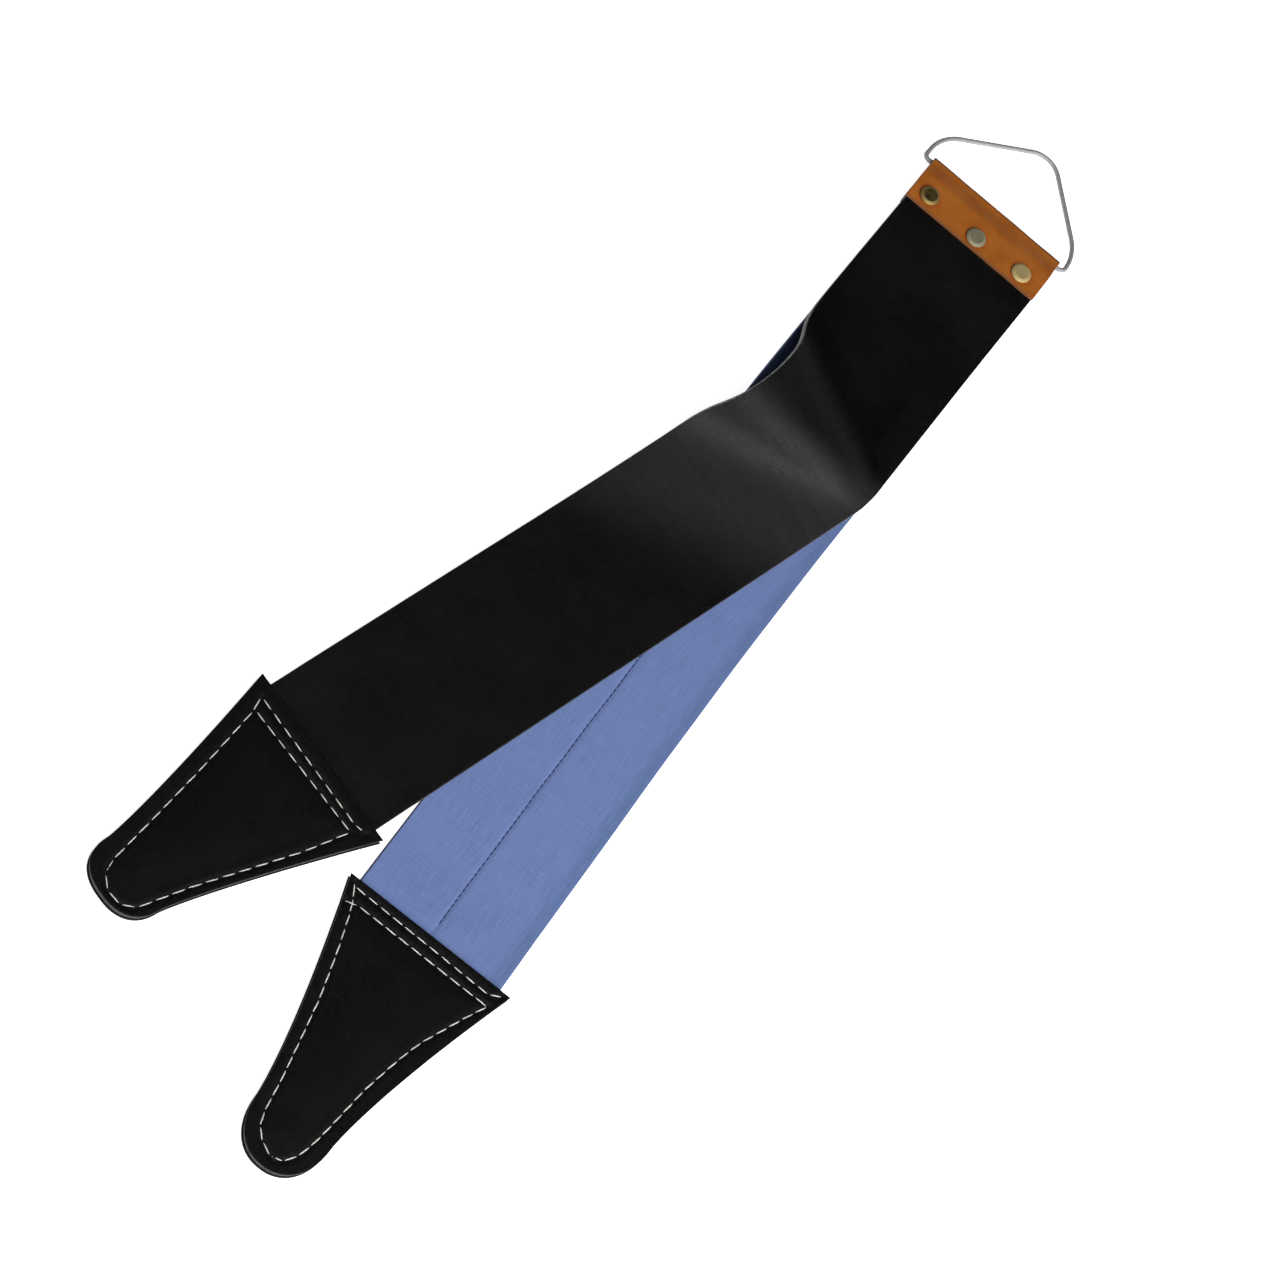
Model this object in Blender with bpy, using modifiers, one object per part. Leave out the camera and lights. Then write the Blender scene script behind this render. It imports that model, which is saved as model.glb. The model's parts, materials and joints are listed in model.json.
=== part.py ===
"""Hanging strop: a leather strap and a canvas strap on a riveted clip with a wire ring.

The strop lies on a flat surface at z = 0, with the canvas strap below and the clip at +Y.
The leather strap is on top. It leaves the canvas towards -X after one raised, conical wave.
"""
import bpy
import bmesh
import math
import numpy as np
from mathutils import Matrix, Vector

MM = 0.001
GAP = 0.3 * MM                        # running gap between neighbouring pieces

# Strap sizes
LEATHER_WIDTH = 76.2 * MM             # 3 in
LEATHER_THICKNESS = 2.2 * MM
CANVAS_WIDTH = 74.5 * MM
CANVAS_NECK = 2.3 * MM                # the canvas is this much narrower at the middle of its run
CANVAS_LAYER = 0.9 * MM
CANVAS_THICKNESS = 2 * CANVAS_LAYER + GAP
STRAP_IN_CLIP = 15.5 * MM             # strap length held in the clip
STRAP_IN_HANDLE = 12.0 * MM           # strap length sewn into its handle

# Layout along Y. The origin is under the middle of the canvas strap.
CLIP_MOUTH_Y = 224 * MM               # lower edge of the clip
CANVAS_RUN = 447 * MM                 # clip mouth to the canvas handle
LEATHER_RUN = 436.5 * MM                # clip mouth to the leather handle, along the outer edge
CANVAS_BOW = 2.9 * MM                 # sideways bow of the canvas strap at its middle
BACK_LAYER_SHIFT = 0.5 * MM           # the lower canvas layer shows at the -X edge
LAY_DOWN_RUN = 50 * MM                # the straps come down from the clip over this length
CANVAS_RISE_RUN = 34 * MM             # the canvas rises into its handle over this length
LEATHER_DROP_RUN = 20 * MM            # the leather drops into its handle over this length
LEVEL_BEFORE_HANDLE = 2 * MM          # each strap is level again this far from its handle
SEAM_ENDS = 5 * MM                    # the seam's groove stops this far from the clip and the handle
SEAM_SINK = 0.15 * MM                 # the seam's middle below the face of the canvas

# Clip and rivets
CLIP_WIDTH = 76.8 * MM
CLIP_LEATHER = 1.6 * MM
RIVET_HEAD = 0.9 * MM                 # thickness of a rivet's back head
RIVET_CAP_RADIUS = 5.0 * MM
RIVET_SHANK_RADIUS = 1.5 * MM
RIVET_PLACES = {                      # x, distance above the clip's mouth
    "left": (-29.3 * MM, 7.2 * MM),
    "middle": (-0.3 * MM, 5.8 * MM),
    "right": (26.5 * MM, 6.9 * MM),
}
CAP_PROFILE = (                       # radius, height above the cap's underside: a flat disc with a round edge
    (0.0, 1.35 * MM),
    (3.7 * MM, 1.3 * MM),
    (4.5 * MM, 1.05 * MM),
    (RIVET_CAP_RADIUS, 0.45 * MM),
    (4.85 * MM, 0.0),
)
CAP_SOCKET_DEPTH = 0.7 * MM
HEAD_PROFILE = (                      # radius, height above the surface, for the post's head
    (4.8 * MM, RIVET_HEAD),
    (RIVET_CAP_RADIUS, 0.5 * MM),
    (4.4 * MM, 0.0),
    (0.0, 0.0),
)
SHANK_CHAMFER = 0.3 * MM
FLAT_LEG = 15.0 * MM                  # flat part of each clip leg, from the mouth
SLOPE_FROM_FLAT = 0.6 * MM            # the front leg starts to slope to the fold this far past its flat part

# Wire ring
WIRE_RADIUS = 1.15 * MM
RING_AXIS_Y = CLIP_MOUTH_Y + 26.8 * MM
RING_CORNERS = (                      # x, distance from the fold axis, bend radius
    (-42.6 * MM, 0.0, 2.6 * MM),
    (-42.2 * MM, 16.2 * MM, 21.0 * MM),
    (5.3 * MM, 52.0 * MM, 12.5 * MM),
    (42.0 * MM, 13.0 * MM, 24.0 * MM),
    (42.2 * MM, 0.0, 3.0 * MM),
)
RING_REACH = 47.8 * MM                # fold axis to the middle of the wire at the ring's top

# The wave in the leather strap
LEAN = math.radians(0.9)              # the leather leaves the clip at this angle, towards -X
TURN = math.radians(15.25)            # change of direction in plan, at the wave
TURN_AT = 141 * MM                    # clip mouth to the middle of the turn, on the outer edge
TURN_LENGTH = 22 * MM                 # length of the turn on the outer edge
WAVE_BEFORE = 78 * MM                 # reach of the wave on the inner edge, before the turn
WAVE_AFTER = 64 * MM                  # and after it
WAVE_SKEW = 1.2                       # above 1 moves the crest away from the clip
EDGE_LIFT = 1.4 * MM                  # height of the wave on the outer edge
WAVE_STATIONS = 26
FLAT_AFTER_WAVE = 4 * MM              # from the wave's end to the first row of the straight lower part
TAIL_BEFORE = 38 * MM                 # the strap's slow tail starts this far before the wave's foot,
TAIL_RISE = 34 * MM                   # rises over this length,
TAIL_LENGTH = 112 * MM                # and has died out this far from its start
TAIL_OUTER = 3.5 * MM                 # height that the tail would reach on the outer edge,
TAIL_INNER = 12.0 * MM                # and on the inner edge, before it fades
TAIL_ROWS = 4

# Handles
PLY = 1.4 * MM
STITCH_INSET = 6.0 * MM
OUTER_ROW = 4.5 * MM                  # rows of stitches across the handle, from its wide edge
INNER_ROW = 9.5 * MM
THREAD_RADIUS = 0.3 * MM
GROOVE_RADIUS = 0.65 * MM
SEAM_RADIUS = 0.25 * MM
CORE_INSET = 1.5 * MM
CORE_FROM_STRAP = 2.5 * MM            # the core stops short of the strap's end
CANVAS_HANDLE_TURN = math.radians(1.5)
ROW_HOOK = 2.0 * MM                   # the outer row's ends turn up by this much
THREAD_SINK = 0.15 * MM               # the front thread's middle below the face of the ply
BACK_THREAD_LIFT = 0.05 * MM          # the back thread stays this far off the surface
LEATHER_HANDLE = {
    "half_width": 43.7 * MM,          # at the wide edge
    "tip_half_width": 18.7 * MM,
    "tip_at": 100 * MM,               # where the tip's curve starts
    "tip_length": 17.6 * MM,
    "tip_power": 2.4,                 # 2 is an ellipse, more is squarer
    "flare": 1.17,                    # 1 is straight sides, more is hollower
    "lean": 0.017,                    # sideways drift to -X for each unit of length
}
CANVAS_HANDLE = {
    "half_width": 42.5 * MM,
    "tip_half_width": 18.9 * MM,
    "tip_at": 103 * MM,
    "tip_length": 24.5 * MM,
    "tip_power": 2.2,
    "flare": 1.33,
    "lean": 0.0,
}

# Heights worked out from the stack, from the surface up
CLIP_BACK_LOW = RIVET_HEAD + GAP
CANVAS_LOW_IN_CLIP = CLIP_BACK_LOW + CLIP_LEATHER + GAP
LEATHER_ON_CANVAS = CANVAS_THICKNESS + GAP
LEATHER_LOW_IN_CLIP = CANVAS_LOW_IN_CLIP + LEATHER_ON_CANVAS
CLIP_FRONT_LOW = LEATHER_LOW_IN_CLIP + LEATHER_THICKNESS + GAP
CLIP_TOP = CLIP_FRONT_LOW + CLIP_LEATHER
STRAP_LOW_IN_HANDLE = PLY + GAP
FOLD_RADIUS = WIRE_RADIUS + GAP + CLIP_LEATHER / 2
RING_AXIS_Z = CLIP_BACK_LOW + CLIP_LEATHER / 2 + FOLD_RADIUS

# Joint places along each strap, from the clip mouth
CANVAS_FLEX_AT = 14 * MM
LEATHER_FLEX_AT = 42 * MM
HANDLE_FLEX_BEFORE = 15 * MM          # the handle bends its strap this far from its wide edge

PARTS = "leather_strop"
CUTTERS = "leather_strop_cutters"


# ---------------------------------------------------------------- scene helpers

def clear_scene():
    for obj in list(bpy.data.objects):
        bpy.data.objects.remove(obj)


def collection(name):
    found = bpy.data.collections.get(name) or bpy.data.collections.new(name)
    if name not in bpy.context.scene.collection.children:
        bpy.context.scene.collection.children.link(found)
    return found


def material(name, colour, roughness, metallic=0.0):
    made = bpy.data.materials.new(name)
    made.use_nodes = True
    shader = made.node_tree.nodes["Principled BSDF"]
    shader.inputs["Base Color"].default_value = (*colour, 1.0)
    shader.inputs["Roughness"].default_value = roughness
    shader.inputs["Metallic"].default_value = metallic
    return made


def add_part(name, mesh, surface, smooth_angle=None):
    obj = bpy.data.objects.new(name, mesh)
    collection(PARTS).objects.link(obj)
    mesh.materials.clear()
    mesh.materials.append(surface)
    if smooth_angle is not None:
        mesh.shade_smooth()
        mesh.set_sharp_from_angle(angle=math.radians(smooth_angle))
    return obj


def add_cutter(name, mesh):
    obj = bpy.data.objects.new(name, mesh)
    collection(CUTTERS).objects.link(obj)
    obj.hide_render = True
    obj.display_type = "WIRE"
    return obj


def cut(obj, cutter):
    boolean = obj.modifiers.new("cut_" + cutter.name, "BOOLEAN")
    boolean.operation = "DIFFERENCE"
    boolean.solver = "EXACT"
    boolean.object = cutter


def thicken(obj, thickness):
    solidify = obj.modifiers.new("thickness", "SOLIDIFY")
    solidify.thickness = thickness
    solidify.offset = 0.0
    solidify.use_even_offset = True


def joint_empty(name, place, turn=0.0):
    empty = bpy.data.objects.new(name, None)
    empty.empty_display_size = 0.02
    collection(PARTS).objects.link(empty)
    empty.location = place
    empty.rotation_euler = (0.0, 0.0, turn)
    return empty


def hang_on(empty, pieces):
    """Parents the pieces to an empty on their joint's axis, and leaves them where they are."""
    placed = Matrix.LocRotScale(empty.location, empty.rotation_euler, None)
    for piece in pieces:
        piece.parent = empty
        piece.matrix_parent_inverse = placed.inverted()


def smooth_step(value):
    value = min(max(value, 0.0), 1.0)
    return value * value * (3.0 - 2.0 * value)


def mesh_from_curve(name, curve):
    """Turns a curve into a closed mesh, with its caps welded."""
    holder = bpy.data.objects.new(name + "_curve", curve)
    bpy.context.scene.collection.objects.link(holder)
    bpy.context.view_layer.update()
    evaluated = holder.evaluated_get(bpy.context.evaluated_depsgraph_get())
    mesh = bpy.data.meshes.new_from_object(evaluated)
    mesh.name = name
    bpy.data.objects.remove(holder)
    shape = bmesh.new()
    shape.from_mesh(mesh)
    bmesh.ops.remove_doubles(shape, verts=shape.verts, dist=0.01 * MM)
    bmesh.ops.recalc_face_normals(shape, faces=shape.faces)
    shape.to_mesh(mesh)
    shape.free()
    return mesh


def tube_mesh(name, points, radius, closed, sides_level=0):
    """A round wire or thread along a run of points."""
    curve = bpy.data.curves.new(name, "CURVE")
    curve.dimensions = "3D"
    spline = curve.splines.new("POLY")
    spline.points.add(len(points) - 1)
    for knot, place in zip(spline.points, points):
        knot.co = (*place, 1.0)
    spline.use_cyclic_u = closed
    curve.bevel_depth = radius
    curve.bevel_resolution = sides_level
    curve.use_fill_caps = not closed
    return mesh_from_curve(name, curve)


def plate_mesh(name, outline, low, thickness):
    """A flat outline with a thickness, its underside at height low."""
    curve = bpy.data.curves.new(name, "CURVE")
    curve.dimensions = "2D"
    spline = curve.splines.new("POLY")
    spline.points.add(len(outline) - 1)
    for knot, (x, y) in zip(spline.points, outline):
        knot.co = (x, y, 0.0, 1.0)
    spline.use_cyclic_u = True
    curve.fill_mode = "BOTH"
    curve.extrude = thickness / 2
    mesh = mesh_from_curve(name, curve)
    mesh.transform(Matrix.Translation((0.0, 0.0, low + thickness / 2)))
    return mesh


def sheet_mesh(name, rows):
    """A grid laid over rows of points, one row for each station along a strap."""
    shape = bmesh.new()
    across = len(rows[0])
    bmesh.ops.create_grid(shape, x_segments=across - 1, y_segments=len(rows) - 1, size=1.0)
    for vert in shape.verts:
        column = round((vert.co.x + 1.0) / 2.0 * (across - 1))
        row = round((vert.co.y + 1.0) / 2.0 * (len(rows) - 1))
        vert.co = rows[row][column]
    bmesh.ops.recalc_face_normals(shape, faces=shape.faces)
    mesh = bpy.data.meshes.new(name)
    shape.to_mesh(mesh)
    shape.free()
    return mesh


# ---------------------------------------------------------------- straps

def stations(*runs):
    """Distances along a strap: each run is (start, end, number of steps)."""
    places = [runs[0][0]]
    for start, end, steps in runs:
        places += [start + (end - start) * (k + 1) / steps for k in range(steps)]
    return places


def lay_down(run):
    """Height of the straps above the surface at a distance from the clip mouth."""
    return CANVAS_LOW_IN_CLIP * (1.0 - smooth_step(run / LAY_DOWN_RUN))


def canvas_low(run):
    start = CANVAS_RUN - CANVAS_RISE_RUN - LEVEL_BEFORE_HANDLE
    return lay_down(run) + STRAP_LOW_IN_HANDLE * smooth_step((run - start) / CANVAS_RISE_RUN)


def canvas_arch(run):
    """0 at both ends of the canvas's free run and 1 at its middle."""
    return math.sin(math.pi * min(max(run / CANVAS_RUN, 0.0), 1.0))


def canvas_stations():
    level = CANVAS_RUN - LEVEL_BEFORE_HANDLE
    rise = level - CANVAS_RISE_RUN
    return stations((-STRAP_IN_CLIP, 0.0, 1), (0.0, LAY_DOWN_RUN, 6), (LAY_DOWN_RUN, rise, 9),
                    (rise, level, 5), (level, CANVAS_RUN + STRAP_IN_HANDLE, 1))


def canvas_layer(name, low, shift, surface):
    """One woven layer of the canvas strap, from inside the clip to inside the handle."""
    rows = []
    for run in canvas_stations():
        height = canvas_low(run) + low + CANVAS_LAYER / 2
        middle = shift - CANVAS_BOW * canvas_arch(run)
        half = (CANVAS_WIDTH - CANVAS_NECK * canvas_arch(run) ** 2) / 2
        rows.append([Vector((x, CLIP_MOUTH_Y - run, height)) for x in (middle - half, middle, middle + half)])
    obj = add_part(name, sheet_mesh(name, rows), surface)
    thicken(obj, CANVAS_LAYER)
    return obj


def canvas_seam(surface):
    """The sewn line down the middle of the canvas, in a shallow groove of the upper layer."""
    top = CANVAS_THICKNESS - SEAM_SINK

    def path(ends):
        start, end = ends, CANVAS_RUN - ends
        runs = [start] + [run for run in canvas_stations() if start < run < end] + [end]
        return [(-CANVAS_BOW * canvas_arch(r), CLIP_MOUTH_Y - r, canvas_low(r) + top) for r in runs]

    thread = tube_mesh("canvas_seam_thread", path(SEAM_ENDS + 2 * GAP), SEAM_RADIUS, False)
    groove = tube_mesh("seam_groove", path(SEAM_ENDS), SEAM_RADIUS + GAP, False)
    return add_part("canvas_seam_thread", thread, surface), add_cutter("seam_groove", groove)


def wave():
    """Stations of the wave: base point on the outer edge, ruling direction and ruling length.

    The strap is a ruled sheet. Each ruling runs from the outer edge to the inner edge and keeps
    the angle and length that it has on the flat strap, so the leather bends without stretching.
    """
    t = np.linspace(0.0, 1.0, WAVE_STATIONS * 8 + 1)
    step = t[1] - t[0]
    outer = TURN_LENGTH * (t - 0.5)
    inner = -WAVE_BEFORE + (WAVE_BEFORE + WAVE_AFTER) * t
    flat_angle = np.arctan2(inner - outer, LEATHER_WIDTH)
    shape = np.sin(math.pi * t ** WAVE_SKEW) ** 2
    flat_rate, shape_rate = np.gradient(flat_angle, t), np.gradient(shape, t)

    def plan_angle(crest):
        rate = np.sqrt(np.maximum(flat_rate ** 2 - (crest * shape_rate) ** 2, 1e-6)) / np.cos(crest * shape)
        return flat_angle[0] + np.concatenate(([0.0], np.cumsum((rate[1:] + rate[:-1]) / 2 * step)))

    low, high = 0.0, 1.0
    for _ in range(40):
        crest = (low + high) / 2
        if plan_angle(crest)[-1] > flat_angle[-1] - TURN:
            low = crest
        else:
            high = crest
    rise, plan = crest * shape, plan_angle(crest)
    heading = np.arcsin(np.clip(np.sin(flat_angle) / np.cos(rise), -1.0, 1.0)) - plan
    middle = (heading[1:] + heading[:-1]) / 2
    x = LEATHER_WIDTH / 2 - np.concatenate(([0.0], np.cumsum(np.sin(middle) * TURN_LENGTH * step)))
    y = CLIP_MOUTH_Y - (TURN_AT - TURN_LENGTH / 2)
    y = y - np.concatenate(([0.0], np.cumsum(np.cos(middle) * TURN_LENGTH * step)))
    z = EDGE_LIFT * np.sin(math.pi * t) ** 2
    length = np.hypot(LEATHER_WIDTH, inner - outer)
    found = []
    for k in range(0, len(t), 8):
        ruling = Vector((-math.cos(rise[k]) * math.cos(plan[k]), -math.cos(rise[k]) * math.sin(plan[k]),
                         math.sin(rise[k])))
        found.append((Vector((x[k], y[k], z[k])), ruling, length[k]))
    return found


def lower_direction():
    return Vector((-math.sin(TURN), -math.cos(TURN), 0.0))


def lower_inward():
    return Vector((-math.cos(TURN), math.sin(TURN), 0.0))


def leaning():
    """Turns the leather strap about the middle of the clip's mouth, by its lean."""
    mouth = Matrix.Translation((0.0, CLIP_MOUTH_Y, 0.0))
    return mouth @ Matrix.Rotation(-LEAN, 4, "Z") @ mouth.inverted()


def leather_place(run, across, found):
    """A point of the lower, straight part of the leather strap before its lean, at the surface's level."""
    base = found[-1][0] + lower_direction() * (run - TURN_AT - TURN_LENGTH / 2)
    return base + lower_inward() * across


def tail_lift(point, foot, inner_foot):
    """Height of the slow tail past the foot of the wave, largest at the strap's inner edge."""
    ruling = (inner_foot - foot).xy
    offset = (point - foot).xy
    unit = ruling.normalized()
    past = offset.y * unit.x - offset.x * unit.y + TAIL_BEFORE
    share = min(max(offset.dot(unit) / ruling.length, 0.0), 1.0)
    fade = 1.0 - min(max(past / TAIL_LENGTH, 0.0), 1.0)
    height = TAIL_OUTER + (TAIL_INNER - TAIL_OUTER) * share
    return height * smooth_step(past / TAIL_RISE) * fade ** 2


def leather_strap(found, surface):
    """The leather strap's middle surface, thickened to both sides."""
    level = LEATHER_ON_CANVAS + LEATHER_THICKNESS / 2
    steps = 6
    rows = []
    inward = Vector((-1.0, 0.0, 0.0))
    before = stations((-STRAP_IN_CLIP, 0.0, 1), (0.0, LAY_DOWN_RUN, 6),
                      (LAY_DOWN_RUN, TURN_AT - WAVE_BEFORE, 1))
    for run in before:
        base = Vector((LEATHER_WIDTH / 2, CLIP_MOUTH_Y - run, level + lay_down(run)))
        rows.append([base + inward * LEATHER_WIDTH * k / steps for k in range(steps + 1)])
    for base, ruling, length in found:
        start = base + Vector((0.0, 0.0, level))
        rows.append([start + ruling * length * k / steps for k in range(steps + 1)])
    foot, inner_foot, foot_row = rows[-1][0], rows[-1][-1], len(rows) - 1
    drop = STRAP_LOW_IN_HANDLE - LEATHER_ON_CANVAS
    level_run = LEATHER_RUN - LEVEL_BEFORE_HANDLE
    drop_from = level_run - LEATHER_DROP_RUN
    straight_from = TURN_AT + WAVE_AFTER + FLAT_AFTER_WAVE
    after = stations((straight_from, straight_from + TAIL_LENGTH - TAIL_BEFORE, 6),
                     (straight_from + TAIL_LENGTH - TAIL_BEFORE, drop_from, 2),
                     (drop_from, level_run, 4), (level_run, LEATHER_RUN + STRAP_IN_HANDLE, 1))
    for run in after:
        height = level + drop * smooth_step((run - drop_from) / LEATHER_DROP_RUN)
        rows.append([leather_place(run, LEATHER_WIDTH * k / steps, found) + Vector((0.0, 0.0, height))
                     for k in range(steps + 1)])
    rows[foot_row + 1:foot_row + 1] = [
        [a.lerp(b, k / TAIL_ROWS) for a, b in zip(rows[foot_row], rows[foot_row + 1])]
        for k in range(1, TAIL_ROWS)]
    lift = [[tail_lift(point, foot, inner_foot) for point in row] for row in rows]
    for row, heights in zip(rows, lift):
        for point, height in zip(row, heights):
            point.z += height
    mesh = sheet_mesh("leather_strap", rows)
    mesh.transform(leaning())
    obj = add_part("leather_strap", mesh, surface, 40)
    thicken(obj, LEATHER_THICKNESS)
    return obj


# ---------------------------------------------------------------- clip, rivets and ring

def clip_path():
    """Middle line of the folded clip, in Y and Z, from the back leg round the wire to the front."""
    back = CLIP_BACK_LOW + CLIP_LEATHER / 2
    front = CLIP_FRONT_LOW + CLIP_LEATHER / 2
    fold_top = RING_AXIS_Z + FOLD_RADIUS
    path = [(CLIP_MOUTH_Y, back), (CLIP_MOUTH_Y + FLAT_LEG, back)]
    for k in range(13):
        angle = -math.pi / 2 + math.pi * k / 12
        path.append((RING_AXIS_Y + FOLD_RADIUS * math.cos(angle),
                     RING_AXIS_Z + FOLD_RADIUS * math.sin(angle)))
    slope_end = CLIP_MOUTH_Y + FLAT_LEG + SLOPE_FROM_FLAT
    for k in range(1, 7):
        y = RING_AXIS_Y + (slope_end - RING_AXIS_Y) * k / 6
        path.append((y, fold_top + (front - fold_top) * smooth_step(k / 6)))
    path.append((CLIP_MOUTH_Y, front))
    return path


def ring_clip(surface):
    """One piece of leather folded over the ring's wire, its legs outside both straps."""
    rows = [[Vector((-CLIP_WIDTH / 2, y, z)), Vector((CLIP_WIDTH / 2, y, z))] for y, z in clip_path()]
    obj = add_part("ring_clip", sheet_mesh("ring_clip", rows), surface, 40)
    thicken(obj, CLIP_LEATHER)
    return obj


def turned(name, profile, surface, place):
    """A round piece: a profile of (radius, height) turned about Z, top to bottom."""
    mesh = bpy.data.meshes.new(name)
    points = [(radius, 0.0, height) for radius, height in profile]
    mesh.from_pydata(points, [(k, k + 1) for k in range(len(points) - 1)], [])
    obj = add_part(name, mesh, surface)
    obj.location = place
    screw = obj.modifiers.new("turn", "SCREW")
    screw.axis = "Z"
    screw.steps = 24
    screw.render_steps = 24
    screw.use_merge_vertices = True
    screw.merge_threshold = 0.01 * MM
    screw.use_smooth_shade = True
    return obj


def rivet(side, brass):
    """A two-part rivet: the post with its back head, and the domed cap on the front."""
    x, above_mouth = RIVET_PLACES[side]
    place = (x, CLIP_MOUTH_Y + above_mouth, 0.0)
    cap_low = CLIP_TOP + GAP
    socket, socket_top = RIVET_SHANK_RADIUS + GAP, cap_low + CAP_SOCKET_DEPTH
    outside = [(radius, cap_low + height) for radius, height in CAP_PROFILE]
    hollow = [(socket, cap_low), (socket, socket_top), (0.0, socket_top)]
    cap = turned("rivet_cap_" + side, outside + hollow, brass, place)
    top = socket_top - GAP
    shank = [(0.0, top), (RIVET_SHANK_RADIUS - SHANK_CHAMFER, top),
             (RIVET_SHANK_RADIUS, top - SHANK_CHAMFER), (RIVET_SHANK_RADIUS, RIVET_HEAD)]
    post = turned("rivet_post_" + side, shank + list(HEAD_PROFILE), brass, place)
    return cap, post


def rivet_hole(side):
    """The hole that each rivet needs through the clip and both straps."""
    x, above_mouth = RIVET_PLACES[side]
    shape = bmesh.new()
    radius = RIVET_SHANK_RADIUS + GAP
    bmesh.ops.create_cone(shape, cap_ends=True, segments=16, radius1=radius, radius2=radius, depth=0.03,
                          matrix=Matrix.Translation((x, CLIP_MOUTH_Y + above_mouth, 0.005)))
    mesh = bpy.data.meshes.new("rivet_hole_" + side)
    shape.to_mesh(mesh)
    shape.free()
    return add_cutter("rivet_hole_" + side, mesh)


def rounded_loop(corners, steps):
    """Points round a closed outline, with each corner turned into an arc of its own radius."""
    points = []
    count = len(corners)
    for k, (x, y, radius) in enumerate(corners):
        here = Vector((x, y))
        back = (Vector(corners[k - 1][:2]) - here).normalized()
        ahead = (Vector(corners[(k + 1) % count][:2]) - here).normalized()
        half = back.angle(ahead) / 2
        centre = here + (back + ahead).normalized() * radius / math.sin(half)
        first = here + back * radius / math.tan(half) - centre
        last = here + ahead * radius / math.tan(half) - centre
        sweep = first.angle_signed(last)
        for j in range(steps + 1):
            turn = -sweep * j / steps
            arm = Vector((first.x * math.cos(turn) - first.y * math.sin(turn),
                          first.x * math.sin(turn) + first.y * math.cos(turn)))
            points.append(centre + arm)
    return points


def hanging_ring(surface):
    """Bent wire, its base in the fold of the clip and its top resting on the surface."""
    loop = [(p.x, p.y, 0.0) for p in rounded_loop(RING_CORNERS, 6)]
    obj = add_part("hanging_ring", tube_mesh("hanging_ring", loop, WIRE_RADIUS, True, 2), surface, 60)
    obj.location = (0.0, RING_AXIS_Y, RING_AXIS_Z)
    droop = math.asin((RING_AXIS_Z - WIRE_RADIUS) / RING_REACH)
    obj.rotation_euler = (-droop, 0.0, 0.0)
    return obj


# ---------------------------------------------------------------- handles

def handle_half_width(handle, down):
    share = max(1.0 - down / handle["tip_at"], 0.0)
    tip = handle["tip_half_width"]
    return tip + (handle["half_width"] - tip) * share ** handle["flare"]


def handle_outline(handle, start, inset, side_steps=7, tip_steps=10):
    """Outline of a tapered handle below its wide edge, moved in by an inset."""
    tip_at, power = handle["tip_at"], 2.0 / handle["tip_power"]
    tip_half, tip_length = handle["tip_half_width"] - inset, handle["tip_length"] - inset
    left, right, tip = [], [], []
    for k in range(side_steps):
        down = start + (tip_at - start) * k / side_steps
        half = handle_half_width(handle, down) - inset
        left.append((-half, down))
        right.append((half, down))
    for k in range(tip_steps + 1):
        angle = math.pi * k / tip_steps
        across = -math.copysign(abs(math.cos(angle)) ** power, math.cos(angle))
        tip.append((tip_half * across, tip_at + tip_length * abs(math.sin(angle)) ** power))
    return [(x - handle["lean"] * down, -down) for x, down in left + tip + right[::-1]]


def outer_row_path(handle, height, longer=0.0):
    """The row nearest the wide edge, its ends hooked up towards the corners."""
    half = handle_half_width(handle, OUTER_ROW) - STITCH_INSET
    reach = ROW_HOOK + longer
    return [(ROW_HOOK - half - reach, reach - OUTER_ROW, height), (ROW_HOOK - half, -OUTER_ROW, height),
            (half - ROW_HOOK, -OUTER_ROW, height), (half - ROW_HOOK + reach, reach - OUTER_ROW, height)]


def stitched_ply(name, handle, low, thread_height, leather, thread, place):
    """One ply of a handle with its two sewn threads, each lying in a groove of the ply."""
    ply = add_part(name, plate_mesh(name, handle_outline(handle, 0.0, 0.0), low, PLY), leather)
    loop = [(x, y, thread_height) for x, y in handle_outline(handle, INNER_ROW, STITCH_INSET)]
    edge = add_part(name + "_edge_thread", tube_mesh(name + "_edge", loop, THREAD_RADIUS, True), thread)
    row = add_part(name + "_row_thread",
                   tube_mesh(name + "_row", outer_row_path(handle, thread_height), THREAD_RADIUS, False),
                   thread)
    grooves = (add_cutter(name + "_edge_groove", tube_mesh(name + "_edge_groove", loop, GROOVE_RADIUS, True)),
               add_cutter(name + "_row_groove",
                          tube_mesh(name + "_row_groove", outer_row_path(handle, thread_height, GAP),
                                    GROOVE_RADIUS, False)))
    for groove in grooves:
        cut(ply, groove)
    for obj in (ply, edge, row, *grooves):
        obj.matrix_world = place
    return ply, edge, row


def sewn_handle(name, handle, strap_thickness, place, leather, thread):
    """A handle sewn from two plies, with the strap's end and a stiff core between them."""
    front_low = STRAP_LOW_IN_HANDLE + strap_thickness + GAP
    back_thread = THREAD_RADIUS + BACK_THREAD_LIFT
    front_thread = front_low + PLY - THREAD_SINK
    pieces = list(stitched_ply(name + "_back", handle, 0.0, back_thread, leather, thread, place))
    pieces += stitched_ply(name + "_front", handle, front_low, front_thread, leather, thread, place)
    core_outline = handle_outline(handle, STRAP_IN_HANDLE + CORE_FROM_STRAP, CORE_INSET)
    core_mesh = plate_mesh(name + "_core", core_outline, STRAP_LOW_IN_HANDLE, strap_thickness)
    core = add_part(name + "_core", core_mesh, leather)
    core.matrix_world = place
    return pieces + [core]


# ---------------------------------------------------------------- the strop

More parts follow.
